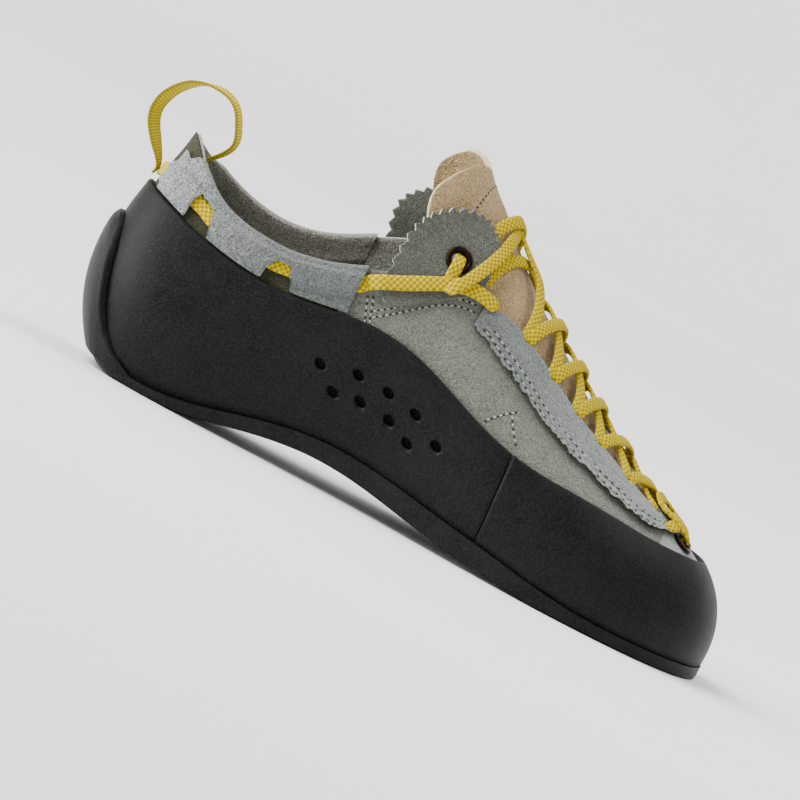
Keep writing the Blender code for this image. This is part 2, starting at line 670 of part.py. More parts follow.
# Outline in the shoe's side view: share along from the back, height over the floor
EAR_FREE_EDGE = ((0.359, 0.0755), (0.358, 0.0850), (0.362, 0.0935), (0.374, 0.0990), (0.394, 0.1030),
                 (0.420, 0.1052), (0.444, 0.1046), (0.462, 0.1018), (0.474, 0.0975), (0.479, 0.0920))
EAR_FOOT = ((0.482, 0.0868), (0.478, 0.0822), (0.450, 0.0772), (0.412, 0.0705), (0.380, 0.0655), (0.364, 0.0690))
EAR_EYELET = (0.434, 0.0893)
TOOTH_COUNT = 12
TOOTH_DEPTH = 0.0013
EYELET_ROOM = EYELET_HOLE_RADIUS + EYELET_BARREL_WALL + GAP


def ear(name, side, where, finish):
    rise = EAR_INNER_RISE if side == INNER else 0.0
    centre = np.array([shoe_x(EAR_EYELET[0]), EAR_EYELET[1] + rise])
    free = smooth_path([(shoe_x(x), z + rise) for x, z in EAR_FREE_EDGE], 2 * TOOTH_COUNT + 1)
    out = (free - centre) / np.linalg.norm(free - centre, axis=1, keepdims=True)
    free = free - out * TOOTH_DEPTH * (np.arange(len(free)) % 2)[:, None]
    foot = np.array([(shoe_x(x), z + rise) for x, z in EAR_FOOT])
    outline = np.concatenate([free, foot])
    away = outline - centre
    hole = centre + away / np.linalg.norm(away, axis=1, keepdims=True) * EYELET_ROOM
    rings = []
    for share in (0.0, 0.3, 0.65, 1.0):
        flat = hole + (outline - hole) * share
        places = np.array([side_place(side, x, z) for x, z in flat])
        rings.append(arch(places[:, 0], places[:, 1], EAR_LIFT))
    grid = np.stack(rings, axis=1)
    if side == INNER:
        grid = grid[::-1]
    return sheet(name, grid, EAR_WALL, finish, where, outwards=True, closed=True)


# Eyelets: rolled bronze rings with a barrel through the leather

EYELET_SIDES = 10
TOE_EYELET_SECTION = 12.12
TOE_EYELET_HEIGHT = 0.0404


def toe_eyelet_place(side):
    t = over_foot(TOE_EYELET_SECTION, side)
    share = float(wall_share(t, TOE_EYELET_HEIGHT)[0])
    return np.array([TOE_EYELET_SECTION, share if side == OUTER else 3.0 - share])


def eyelet(name, place, seat, leather, where, finish):
    """Turned ring: a flange over the leather, whose outer face is at seat, and a barrel through it."""
    depth = leather + GAP
    frame = frame_at(place) @ Matrix.Translation((0.0, 0.0, seat + GAP))
    inner, barrel = EYELET_HOLE_RADIUS, EYELET_HOLE_RADIUS + EYELET_BARREL_WALL
    thick = EYELET_FLANGE_THICKNESS
    profile = ((inner, -depth), (barrel, -depth), (barrel, 0.0), (EYELET_FLANGE_RADIUS, 0.0),
               (EYELET_FLANGE_RADIUS, 0.5 * thick), (EYELET_FLANGE_RADIUS - 0.5 * thick, thick), (inner, thick))
    points = []
    for i in range(EYELET_SIDES):
        turn = 2 * math.pi * i / EYELET_SIDES
        for radius, height in profile:
            points.append(frame @ Vector((radius * math.cos(turn), radius * math.sin(turn), height)))
    count = len(profile)
    faces = []
    for i in range(EYELET_SIDES):
        k = (i + 1) % EYELET_SIDES
        for j in range(count):
            m = (j + 1) % count
            faces.append((i * count + j, k * count + j, k * count + m, i * count + m))
    return tidy(new_object(name, points, faces, finish, where))


# Eyestays: the strips of suede along the throat, on each side

EYESTAY_FIRST = 6.46
EYESTAY_LAST = 11.6
EYESTAY_WIDTH = ((6.4, 0.115), (7.0, 0.165), (8.0, 0.185), (9.0, 0.160), (10.0, 0.120), (11.0, 0.088), (12.0, 0.070))
EYESTAY_STEPS = 3


def eyestay(name, side, where, finish):
    r = rows_between(EYESTAY_FIRST, EYESTAY_LAST)
    t = over_foot(r, side)
    low = wall_share(t, along_table(EYESTAY_WIDTH, r) * BALL_WIDTH, by_height=False)
    rand_top = wall_share(t, section_at(t)[:, 10] + CUFF_FOOT)
    low = np.maximum(low, rand_top)
    shares = low[:, None] + (1 - low)[:, None] * np.linspace(0, 1, EYESTAY_STEPS + 1)[None, :]
    points = wall(t[:, None], shares, GAP)
    if side == INNER:
        points = points[::-1]
    return sheet(name, points, EYESTAY_WALL, finish, where)


# Tongue: one sheet under both eyestays, which stands up in front of the ankle

TONGUE_TOP = 5.62  # section number of its top edge at the middle
TONGUE_TOP_DROOP = 0.70  # how far back the top edge's corners lie, in sections
TONGUE_TOP_ROUND = 1.5  # the power of the way across by which the top edge falls back
TONGUE_FOOT = 12.2
TONGUE_DEPTH = UPPER_WALL + 3 * GAP
TONGUE_HALF = ((4.8, 0.38), (5.5, 0.40), (6.0, 0.42), (6.5, 0.52), (7.0, 0.60), (13.0, 0.60))  # of the arch's share
TONGUE_COLUMNS = 8


def tongue(where, finish):
    across = np.linspace(-1, 1, TONGUE_COLUMNS + 1)
    top = TONGUE_TOP - TONGUE_TOP_DROOP * np.abs(across) ** TONGUE_TOP_ROUND
    rows = [top, 0.5 * top + 0.5 * 6.0]
    rows += [np.full_like(across, r) for r in np.arange(6.0, 12.01, 0.5)]
    rows.append(np.full_like(across, TONGUE_FOOT))
    points = []
    for r in rows:
        half = np.interp(r, *np.array(TONGUE_HALF).T)
        points.append(arch(r, 1.5 + across * half, -TONGUE_DEPTH))
    return sheet("tongue", np.array(points), TONGUE_WALL, finish, where, outwards=False)


# Lacing over the throat, joined in one piece

NOTCHES = (6.62, 7.17, 7.75, 8.32, 8.87, 9.57, 10.60)  # section numbers where the lace passes the edge
LACE_OVER = GAP + EYESTAY_WALL + 2 * GAP
LACE_CROSS_RISE = 0.0009
LACE_STACK = 0.00025  # between the undersides of strips that meet at a notch
HITCH = (0.470, 0.0832)
TOP_BAR_SECTION = 6.42


def lacing_strips():
    strips = []
    tuck = 0.03
    for low, high in zip(NOTCHES[1:], NOTCHES[:-1]):
        for first, last, rise in ((1.0 - tuck, 2.0 + tuck, LACE_CROSS_RISE), (2.0 + tuck, 1.0 - tuck, 0.0)):
            places = [(high, first), (0.5 * (high + low), 1.5), (low, last)]
            end = LACE_OVER + (0.0 if rise else LACE_STACK)
            lifts = (end, end + rise, end)
            strips.append(surface_ribbon(places, lifts, 5, LACE_WIDTH, LACE_THICKNESS))
    over_ear = EAR_LIFT + EAR_WALL + GAP
    for side in (OUTER, INNER):
        rise = 0.0 if side == OUTER else EAR_INNER_RISE
        edge = 1.0 - tuck if side == OUTER else 2.0 + tuck
        toe_end = np.array([NOTCHES[-1], edge]) * 0.36 + toe_eyelet_place(side) * 0.64
        toe_lift = LACE_OVER + 0.5 * LACE_STACK
        strips.append(surface_ribbon([(NOTCHES[-1], edge), toe_end], (toe_lift, toe_lift), 4,
                                     LACE_WIDTH, LACE_THICKNESS))
        hitch = side_place(side, shoe_x(HITCH[0]), HITCH[1] + rise)
        under = over_ear - 0.7 * LACE_STACK
        strips.append(surface_ribbon([hitch, (NOTCHES[0], edge)], (over_ear, under), 4,
                                     LACE_WIDTH, LACE_THICKNESS))
        bend = (TOP_BAR_SECTION - 0.02, 1.22 if side == OUTER else 1.78)
        high = over_ear + LACE_STACK
        middle = high + (0.4 * LACE_STACK if side == OUTER else 0.0)
        strips.append(surface_ribbon([hitch, bend, (TOP_BAR_SECTION, 1.5)], (high, high, middle), 6,
                                     LACE_WIDTH, LACE_THICKNESS))
    return strips


def lacing(where, cutters, finish):
    """The strips joined into one solid, each strip by a union."""
    strips = lacing_strips()
    made = None
    for number, rings in enumerate(strips):
        name = "lacing" if made is None else "strip_%d" % number
        strip = tidy(new_object(name, rings.reshape(-1, 3), ribbon_faces(len(rings)), finish,
                                where if made is None else cutters, smooth=False))
        if made is None:
            made = strip
            continue
        strip.display_type = "WIRE"
        strip.hide_render = True
        join = made.modifiers.new("join %d" % number, "BOOLEAN")
        join.operation = "UNION"
        join.solver = "EXACT"
        join.object = strip
    return made


# Pull loop: a tape from the heel's opening, up and over the collar, to the inside of the heel

LOOP_START = 0.0655  # height of the tape's outer end over the floor
LOOP_END = 0.0755
LOOP_FREE = ((-0.012, 0.0790), (-0.0150, 0.0865), (-0.0125, 0.0940), (-0.0065, 0.0995), (0.0015, 0.1012),
             (0.0080, 0.0985), (0.0118, 0.0925), (0.0125, 0.0850))  # from the collar's peak in plan, height


def pull_loop(where, finish):
    outside = LACE_ROOM + 2 * GAP
    inside = -(UPPER_WALL + GAP + LOOP_THICKNESS)
    low = wall(0.0, float(wall_share(0.0, LOOP_START)[0]), outside)
    mid = wall(0.0, float(wall_share(0.0, LOOP_START + 0.0045)[0]), outside + 0.0006)
    end = wall(0.0, float(wall_share(0.0, LOOP_END)[0]), inside)
    peak = section_at(0.0)[3]
    free = [np.array([peak + dx, 0.0, z]) for dx, z in LOOP_FREE]
    path = smooth_path([low, mid, *free, end], 30)
    along = np.gradient(path, axis=0)
    normals = np.cross(np.array([0.0, 1.0, 0.0]), along)
    rings = ribbon(path, -normals, LOOP_WIDTH, LOOP_THICKNESS)
    return tidy(new_object("pull_loop", rings.reshape(-1, 3), ribbon_faces(len(rings)), finish, where))


def main():
    for old in list(bpy.data.objects):
        bpy.data.objects.remove(old, do_unlink=True)
    shoe = collection("climbing_shoe")
    cutters = collection("cutters", shown=False)

    rubber = material("sole_rubber", (0.020, 0.020, 0.021), 0.75)
    band = material("rand_rubber", (0.016, 0.016, 0.017), 0.70)
    suede = material("quarter_suede", (0.205, 0.222, 0.180), 0.95)
    strip = material("eyestay_suede", (0.230, 0.260, 0.235), 0.95)
    flap = material("ear_suede", (0.120, 0.128, 0.098), 0.95)
    collar = material("cuff_suede", (0.330, 0.360, 0.330), 0.95)
    lining = material("tongue_leather", (0.480, 0.360, 0.220), 0.85)
    board = material("insole_leather", (0.330, 0.250, 0.160), 0.85)
    braid = material("lace_braid", (0.620, 0.480, 0.010), 0.80)
    tape = material("loop_tape", (0.560, 0.430, 0.012), 0.80)
    bronze = material("eyelet_bronze", (0.030, 0.024, 0.020), 0.35, 0.9)
    tool = material("cutter", (0.8, 0.1, 0.1), 0.5)

    outsole(shoe, rubber)
    insole(shoe, board)

    shell = upper(shoe, suede)
    toe_frames = [frame_at(toe_eyelet_place(side)) for side in (OUTER, INNER)]
    toe_holes = drill("toe_eyelet_holes", toe_frames, EYELET_ROOM, EYELET_ROOM, 0.012, EYELET_SIDES, cutters, tool)
    cut(shell, toe_holes)

    rear = rand_piece("rand_rear", -SEAM_SECTION + SEAM_HALF, SEAM_SECTION - SEAM_HALF, shoe, band)
    rand_piece("rand_toe", SEAM_SECTION + SEAM_HALF, LOOP_COUNT - SEAM_SECTION - SEAM_HALF, shoe, band)
    vent_frames = [frame_at(side_place(OUTER, shoe_x(share), z)) for share, z in VENTS]
    vents = drill("vent_holes", vent_frames, VENT_LENGTH / 2, VENT_HEIGHT / 2, 0.0052, VENT_SIDES, cutters, tool)
    cut(rear, vents)

    cuff(shoe, collar)
    ankle_lace(shoe, braid)
    tongue(shoe, lining)
    for side, word in ((OUTER, "outer"), (INNER, "inner")):
        rise = EAR_INNER_RISE if side == INNER else 0.0
        eyestay("eyestay_" + word, side, shoe, strip)
        ear("ear_" + word, side, shoe, flap)
        top_place = side_place(side, shoe_x(EAR_EYELET[0]), EAR_EYELET[1] + rise)
        eyelet("eyelet_top_" + word, top_place, EAR_LIFT + EAR_WALL, EAR_WALL, shoe, bronze)
        eyelet("eyelet_toe_" + word, toe_eyelet_place(side), 0.0, UPPER_WALL, shoe, bronze)
    lacing(shoe, cutters, braid)
    pull_loop(shoe, tape)


main()
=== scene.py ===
import math

import bmesh
import bpy
import numpy as np
from mathutils import Matrix, Vector


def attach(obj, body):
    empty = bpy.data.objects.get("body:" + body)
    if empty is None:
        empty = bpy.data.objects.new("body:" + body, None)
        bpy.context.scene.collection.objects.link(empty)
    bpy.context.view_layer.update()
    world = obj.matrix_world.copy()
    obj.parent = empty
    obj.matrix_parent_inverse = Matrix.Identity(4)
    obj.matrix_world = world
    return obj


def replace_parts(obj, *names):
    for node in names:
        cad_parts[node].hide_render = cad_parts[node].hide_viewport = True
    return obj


# A suede climbing shoe for the right foot, standing on its sole.
# +X runs to the toe, +Y to the inner side of the foot, -Y to the outer side, +Z up, all in metres.
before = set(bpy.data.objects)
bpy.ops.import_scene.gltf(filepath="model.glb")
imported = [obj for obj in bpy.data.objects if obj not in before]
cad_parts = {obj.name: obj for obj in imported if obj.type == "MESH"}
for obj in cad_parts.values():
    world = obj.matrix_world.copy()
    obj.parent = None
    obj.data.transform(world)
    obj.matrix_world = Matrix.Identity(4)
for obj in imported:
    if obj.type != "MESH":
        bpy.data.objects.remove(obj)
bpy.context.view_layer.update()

mm = 0.001
outerSide, innerSide = -1, 1

# Camera and light

view = {
    "tilt": 28.18,  # degrees that the shoe's sole line falls to the right in the picture
    "above": 4.5,  # degrees from which the camera looks down on the shoe
    "heelPoint": (0.0009, -0.024, 0.0),  # this point of the shoe is seen at heelPixel
    "heelPixel": (140.0, 394.0),
    "pixelsPerMetre": 2985.0,
    "imageSize": 800.0,
    "distance": 2.4,
    "sensor": 36.0,
}


def cameraAxes():
    tilt, above = math.radians(view["tilt"]), math.radians(view["above"])
    right = Vector((math.cos(tilt), 0.0, math.sin(tilt)))
    flatUp = Vector((-math.sin(tilt), 0.0, math.cos(tilt)))
    inward = Vector((0.0, 1.0, 0.0))
    up = flatUp * math.cos(above) + inward * math.sin(above)
    back = flatUp * math.sin(above) - inward * math.cos(above)
    return right, up, back


def placeCamera():
    right, up, back = cameraAxes()
    half = view["imageSize"] / 2
    scale = view["pixelsPerMetre"]
    centre = (Vector(view["heelPoint"]) + right * ((half - view["heelPixel"][0]) / scale)
              + up * ((view["heelPixel"][1] - half) / scale))
    lens = bpy.data.cameras.new("camera")
    lens.sensor_width = view["sensor"]
    lens.lens = view["pixelsPerMetre"] * view["distance"] * view["sensor"] / view["imageSize"]
    lens.clip_end = 50.0
    made = bpy.data.objects.new("camera", lens)
    bpy.context.scene.collection.objects.link(made)
    basis = Matrix((right, up, back)).transposed().to_4x4()
    made.matrix_world = Matrix.Translation(centre + back * view["distance"]) @ basis
    bpy.context.scene.camera = made
    return centre


# sRGB hex to the linear colour that the shaders take
def toLinear(hexText):
    parts = [int(hexText[i:i + 2], 16) / 255 for i in (1, 3, 5)]
    return tuple(c / 12.92 if c <= 0.04045 else ((c + 0.055) / 1.055) ** 2.4 for c in parts) + (1.0,)


lights = {
    # name: (right, up, towards the camera, width, watts, colour), metres along the picture's axes
    "softboxLeft": (-0.70, 0.34, 0.12, 0.4, 13.0, "#ffffff"),
    "softboxRight": (1.10, 0.95, -0.10, 0.7, 12.0, "#fffaf2"),
}
# a broad bank of lamps high over the shoe, and the pale room around
overhead = {"from": (-0.30, 1.0, 0.34), "strength": 5.6, "spread": 42.0}
surround = {"colour": "#f4f4f5", "strength": 0.86}


def placeLights(centre):
    right, up, back = cameraAxes()
    for name, (x, y, z, width, watts, colour) in lights.items():
        lamp = bpy.data.lights.new(name, "AREA")
        lamp.shape = "DISK"
        lamp.size = width
        lamp.energy = watts
        lamp.color = toLinear(colour)[:3]
        made = bpy.data.objects.new(name, lamp)
        bpy.context.scene.collection.objects.link(made)
        made.location = centre + right * x + up * y + back * z
        made.rotation_euler = (made.location - centre).to_track_quat("Z", "Y").to_euler()
    bank = bpy.data.lights.new("bankOverhead", "SUN")
    bank.energy = overhead["strength"]
    bank.angle = math.radians(overhead["spread"])
    made = bpy.data.objects.new("bankOverhead", bank)
    bpy.context.scene.collection.objects.link(made)
    x, y, z = overhead["from"]
    made.rotation_euler = (right * x + up * y + back * z).to_track_quat("Z", "Y").to_euler()
    world = bpy.data.worlds.new("studio")
    world.use_nodes = True
    world.node_tree.nodes["Background"].inputs[0].default_value = toLinear(surround["colour"])
    world.node_tree.nodes["Background"].inputs[1].default_value = surround["strength"]
    bpy.context.scene.world = world


# Adds one node with its settings and links; a key is an input's name or number, or else a setting of the node
def addNode(tree, kind, settings=(), links=()):
    node = tree.nodes.new("ShaderNode" + kind)
    for key, value in dict(settings).items():
        if isinstance(key, int) or key in node.inputs:
            node.inputs[key].default_value = value
        else:
            setattr(node, key, value)
    for key, socket in dict(links).items():
        tree.links.new(socket, node.inputs[key])
    return node


def newFinish(name, roughness, metallic=0.0, sheen=0.0, specular=0.5):
    made = bpy.data.materials.new(name)
    made.use_nodes = True
    tree = made.node_tree
    shader = tree.nodes["Principled BSDF"]
    shader.inputs["Roughness"].default_value = roughness
    shader.inputs["Metallic"].default_value = metallic
    shader.inputs["Sheen Weight"].default_value = sheen
    shader.inputs["Sheen Roughness"].default_value = 0.45
    shader.inputs["Specular IOR Level"].default_value = specular
    return made, tree, shader


# Noise of one grain size, stretched between low and high, in the shoe's own metres
def grainOf(tree, where, size, low, high, detail=3.0):
    settings = {"Scale": 1.0 / size, "Detail": detail, "Roughness": 0.6}
    noise = addNode(tree, "TexNoise", settings, {"Vector": where}).outputs[0]
    return addNode(tree, "MapRange", {"From Min": low, "From Max": high}, {"Value": noise}).outputs[0]


# Mix of two colours, or of a colour and what came before
def mixOf(tree, factor, first, second, mode="MIX"):
    settings, links = {"data_type": "RGBA", "blend_type": mode}, {0: factor}
    for slot, colour in ((6, first), (7, second)):
        (settings if isinstance(colour, tuple) else links)[slot] = colour
    return addNode(tree, "Mix", settings, links).outputs[2]


def bumpOf(tree, shader, height, distance):
    bump = addNode(tree, "Bump", {"Distance": distance, "Strength": 1.0}, {"Height": height})
    tree.links.new(bump.outputs[0], shader.inputs["Normal"])


# Split cowhide, buffed to a suede nap: the fibres throw light and dark flecks and a dusty bloom at the rims.
# Real fibre bundles are 0.1 to 0.2 mm, too fine for the picture; the flecks are drawn about 0.6 mm wide.
# A painted shade (from x, to x, amount) darkens the colour from one place along the shoe to another: painted
# shade standing in for the lamps' uneven light.
nap = {"clumps": 3.2, "clumpShade": 0.35, "patch": 9 * mm, "patchShade": 0.22}


def buffedSuede(name, dark, light, fleck=0.6 * mm, relief=0.35 * mm, sheen=0.35, spread=0.16, paintedShade=None):
    made, tree, shader = newFinish(name, 0.95, sheen=sheen, specular=0.25)
    where = addNode(tree, "TexCoord").outputs["Object"]
    fine = grainOf(tree, where, fleck, 0.5 - spread, 0.5 + spread, detail=2.0)
    coarse = grainOf(tree, where, nap["clumps"] * fleck, 0.35, 0.65)
    cloud = grainOf(tree, where, nap["patch"], 0.3, 0.7)
    colour = mixOf(tree, fine, toLinear(dark), toLinear(light))
    soft = addNode(tree, "MapRange", {"To Max": nap["clumpShade"]}, {"Value": coarse}).outputs[0]
    colour = mixOf(tree, soft, colour, toLinear(dark))
    drift = addNode(tree, "MapRange", {"To Max": nap["patchShade"]}, {"Value": cloud}).outputs[0]
    colour = mixOf(tree, drift, colour, toLinear(light))
    # painted shade: the colour darkens towards the dark tone along the shoe's length
    if paintedShade:
        along = addNode(tree, "SeparateXYZ", links={0: where}).outputs[0]
        limits = {"From Min": paintedShade[0], "From Max": paintedShade[1], "To Max": paintedShade[2]}
        paintedShadeShare = addNode(tree, "MapRange", limits, {"Value": along}).outputs[0]
        colour = mixOf(tree, paintedShadeShare, colour, toLinear(dark))
    tree.links.new(colour, shader.inputs["Base Color"])
    height = addNode(tree, "Math", {"operation": "ADD"}, {0: fine, 1: coarse}).outputs[0]
    bumpOf(tree, shader, height, relief)
    return made


# Moulded climbing rubber, matt black with talc and buffing dust: grey specks and soft grey clouds
def mouldedRubber(name, dark, light, dust, roughness):
    made, tree, shader = newFinish(name, roughness, specular=0.12)
    where = addNode(tree, "TexCoord").outputs["Object"]
    speck = grainOf(tree, where, 0.6 * mm, 0.44, 0.64, detail=2.0)
    cloud = grainOf(tree, where, 14 * mm, 0.38, 0.70)
    colour = mixOf(tree, speck, toLinear(dark), toLinear(light))
    haze = addNode(tree, "MapRange", {"To Max": 0.30}, {"Value": cloud}).outputs[0]
    colour = mixOf(tree, haze, colour, toLinear(dust))
    tree.links.new(colour, shader.inputs["Base Color"])
    bumpOf(tree, shader, speck, 0.05 * mm)
    return made


# Tubular polyester braid: the plaits cross over and under each other, so the face shows staggered scales.
# A real plait is 0.8 mm long; it is drawn 1.1 mm long so that it shows. The map's first measure is in mm.
braid = {"plait": 1.1, "across": 5}


def braidedPolyester(name, deep, base, bright):
    made, tree, shader = newFinish(name, 0.75, specular=0.12)
    lay = addNode(tree, "UVMap").outputs[0]
    parts = addNode(tree, "SeparateXYZ", links={0: lay})
    turns = (math.pi / braid["plait"], 0.5 * math.pi * braid["across"])
    waves = []
    for part, (turn, wave) in enumerate(zip(turns, ("SINE", "COSINE"))):
        angle = addNode(tree, "Math", {"operation": "MULTIPLY", 1: turn}, {0: parts.outputs[part]}).outputs[0]
        waves.append(addNode(tree, "Math", {"operation": wave}, {0: angle}).outputs[0])
    scale = addNode(tree, "Math", {"operation": "MULTIPLY"}, dict(enumerate(waves))).outputs[0]
    scale = addNode(tree, "MapRange", {"From Min": -0.45, "From Max": 0.45}, {"Value": scale}).outputs[0]
    where = addNode(tree, "TexCoord").outputs["Object"]
    fuzz = grainOf(tree, where, 0.5 * mm, 0.35, 0.65)
    # the yellow is painted deeper where the plaits dip under each other, as painted shade, and brighter on
    # their crests, as painted highlight
    colour = mixOf(tree, scale, toLinear(deep), toLinear(base))
    shine = addNode(tree, "Math", {"operation": "MULTIPLY"}, {0: fuzz, 1: scale}).outputs[0]
    shine = addNode(tree, "MapRange", {"To Max": 0.7}, {"Value": shine}).outputs[0]
    colour = mixOf(tree, shine, colour, toLinear(bright))
    tree.links.new(colour, shader.inputs["Base Color"])
    bumpOf(tree, shader, scale, 0.25 * mm)
    return made


# Woven polyester tape: ribs run across it, one to each mm, and the selvedges are darker
def wovenTape(name, deep, base, bright):
    made, tree, shader = newFinish(name, 0.7, specular=0.15)
    lay = addNode(tree, "UVMap").outputs[0]
    parts = addNode(tree, "SeparateXYZ", links={0: lay})
    run = addNode(tree, "Math", {"operation": "MULTIPLY", 1: 2 * math.pi}, {0: parts.outputs[0]}).outputs[0]
    wave = addNode(tree, "Math", {"operation": "SINE"}, {0: run}).outputs[0]
    ribs = addNode(tree, "MapRange", {"From Min": -1.0}, {"Value": wave}).outputs[0]
    edge = addNode(tree, "Math", {"operation": "ABSOLUTE"}, {0: parts.outputs[1]}).outputs[0]
    edge = addNode(tree, "MapRange", {"From Min": 0.55, "To Max": 0.75}, {"Value": edge}).outputs[0]
    # the ribs' crests are painted brighter: painted highlight
    colour = mixOf(tree, ribs, toLinear(base), toLinear(bright))
    colour = mixOf(tree, edge, colour, toLinear(deep))
    tree.links.new(colour, shader.inputs["Base Color"])
    bumpOf(tree, shader, ribs, 0.12 * mm)
    return made


# Rolled bronze with a dark antique finish: nearly black, brown where it catches light
def antiqueBronze(name):
    made, tree, shader = newFinish(name, 0.38, metallic=1.0)
    where = addNode(tree, "TexCoord").outputs["Object"]
    worn = grainOf(tree, where, 1.2 * mm, 0.35, 0.7)
    colour = mixOf(tree, worn, toLinear("#110c09"), toLinear("#33241a"))
    tree.links.new(colour, shader.inputs["Base Color"])
    bumpOf(tree, shader, worn, 0.03 * mm)
    return made


# Bonded nylon thread, twisted: pale, with a thin dark line between the turns
def twistedThread(name, dark, light):
    made, tree, shader = newFinish(name, 0.7, sheen=0.2)
    where = addNode(tree, "TexCoord").outputs["Object"]
    turn = grainOf(tree, where, 0.35 * mm, 0.35, 0.65)
    tree.links.new(mixOf(tree, turn, toLinear(dark), toLinear(light)), shader.inputs["Base Color"])
    bumpOf(tree, shader, turn, 0.06 * mm)
    return made


finishes = {
    "quarter": buffedSuede("buffedSuedeQuarter", "#41443d", "#838779", fleck=0.5 * mm),
    "lining": buffedSuede("roughSuedeLining", "#56574b", "#a5a59a", fleck=0.55 * mm, sheen=0.3),
    # the eyestay is painted darker towards the ankle: painted shade
    "eyestay": buffedSuede("buffedSuedeEyestay", "#3c423f", "#a3aca7", fleck=0.5 * mm,
                           paintedShade=(0.165, 0.085, 0.62)),
    "ear": buffedSuede("buffedSuedeEar", "#2c2e27", "#66695d", fleck=0.5 * mm),
    # the heel tab's own dark olive suede, also used as painted shade under the cuff's tears and on the
    # eyestays' cut edges
    "tabAndPaintedShade": buffedSuede("buffedSuedeTabAndPaintedShade", "#1c1c14", "#484833", fleck=0.5 * mm, sheen=0.03),
    # the cuff is painted darker towards its front end: painted shade
    "cuff": buffedSuede("coarseSuedeCuff", "#3b423f", "#bec6c1", fleck=0.5 * mm, relief=0.5 * mm, sheen=0.3,
                        spread=0.11, paintedShade=(-0.030, 0.024, 0.72)),
    "patch": buffedSuede("fineSuedeToe", "#6f7670", "#b0b7b1", fleck=0.45 * mm, spread=0.25),
    "rawEdge": buffedSuede("cutSuedeEdge", "#8f9287", "#d8dbd2", fleck=0.4 * mm),
    # near-black painted shade for undersides: it shows through the rand's vents and under the eyestays' curled
    # edges
    "backing": buffedSuede("nearBlackShadeBacking", "#060606", "#101010", sheen=0.0),
    "tongue": buffedSuede("roughoutLeatherTongue", "#6b5433", "#c9ae80", fleck=0.55 * mm, sheen=0.15,
                          spread=0.20),
    "tongueInside": buffedSuede("roughoutLeatherTongueInside", "#6b5636", "#b3976a", sheen=0.15),
    "tongueEdge": buffedSuede("cutLeatherTongueEdge", "#c4a878", "#eed9b0", fleck=0.4 * mm),
    "insole": buffedSuede("tannedLeatherInsole", "#40331f", "#5f4e34", fleck=0.8 * mm, sheen=0.1),
    "rand": mouldedRubber("mouldedRubberRand", "#040404", "#191919", "#1d1d1e", 0.50),
    "sole": mouldedRubber("mouldedRubberSole", "#060606", "#1c1c1c", "#202021", 0.50),
    "lace": braidedPolyester("braidedPolyesterLace", "#8c7500", "#b29b00", "#d8c400"),
    "tape": wovenTape("wovenPolyesterTape", "#6b5600", "#a89200", "#d2c01a"),
    "bronze": antiqueBronze("antiqueBronzeEyelet"),
    "thread": twistedThread("bondedNylonThread", "#6e7068", "#c6c9bf"),
    "needleHole": twistedThread("needleHoleShadow", "#080907", "#12130e"),
}
print("finishes made:", len(finishes))

# The shoe's surface, with the same sizes and sections as the solids

sizes = {
    "length": 0.250,
    "ballWidth": 0.085,
    "collarHeight": 0.0803,
    "instepHeight": 0.0775,
    "crestHeight": 0.1130,
    "randHeight": 0.0590,
    "archLift": 0.0095,
    "soleThickness": 0.0050,
    "heelRestAlong": 0.140,
    "gap": 0.0003,
    "upperWall": 0.0018,
    "randWall": 0.0018,
    "eyestayWall": 0.0013,
    "earWall": 0.0014,
    "cuffWall": 0.0011,
    "tongueWall": 0.0020,
    "insoleWall": 0.0020,
}
collar, instep, gap = sizes["collarHeight"], sizes["instepHeight"], sizes["gap"]
# Shares of the sizes: along, out, lift, thickness, top along, top out, top height and rubber's top;
# then the lean at the foot and at the top, in degrees
heelSection = (0.062, 0.0, 0.38, 0.90, 0.044, 0.0, collar, 1.00, 38, 9)
outerSections = (
    (0.076, -0.171, 0.22, 0.90, 0.058, -0.130, 0.968 * collar, 0.96, 36, 10),
    (0.124, -0.271, 0.00, 0.88, 0.106, -0.238, 0.822 * collar, 0.88, 30, 6),
    (0.200, -0.300, 0.14, 0.92, 0.184, -0.300, 0.750 * collar, 0.82, 24, 1),
    (0.288, -0.306, 0.65, 1.05, 0.272, -0.335, 0.775 * collar, 0.83, 18, 0),
    (0.380, -0.318, 1.00, 1.20, 0.360, -0.338, 0.885 * collar, 0.885, 13, 8),
    (0.472, -0.341, 0.87, 1.38, 0.450, -0.300, 1.000 * instep, 0.845, 12, 22),
    (0.564, -0.388, 0.50, 1.54, 0.548, -0.256, 0.950 * instep, 0.705, 15, 36),
    (0.652, -0.436, 0.28, 1.42, 0.642, -0.218, 0.790 * instep, 0.605, 18, 48),
    (0.740, -0.459, 0.08, 1.20, 0.728, -0.185, 0.655 * instep, 0.578, 18, 56),
    (0.824, -0.424, 0.00, 1.05, 0.802, -0.150, 0.553 * instep, 0.548, 16, 62),
    (0.904, -0.312, 0.00, 1.00, 0.838, -0.106, 0.515 * instep, 0.536, 12, 66),
    (0.962, -0.106, 0.00, 1.00, 0.850, -0.052, 0.510 * instep, 0.530, 7, 68),
)
toeSection = (0.984, 0.135, 0.03, 1.00, 0.854, 0.010, 0.513 * instep, 0.525, 4, 68)
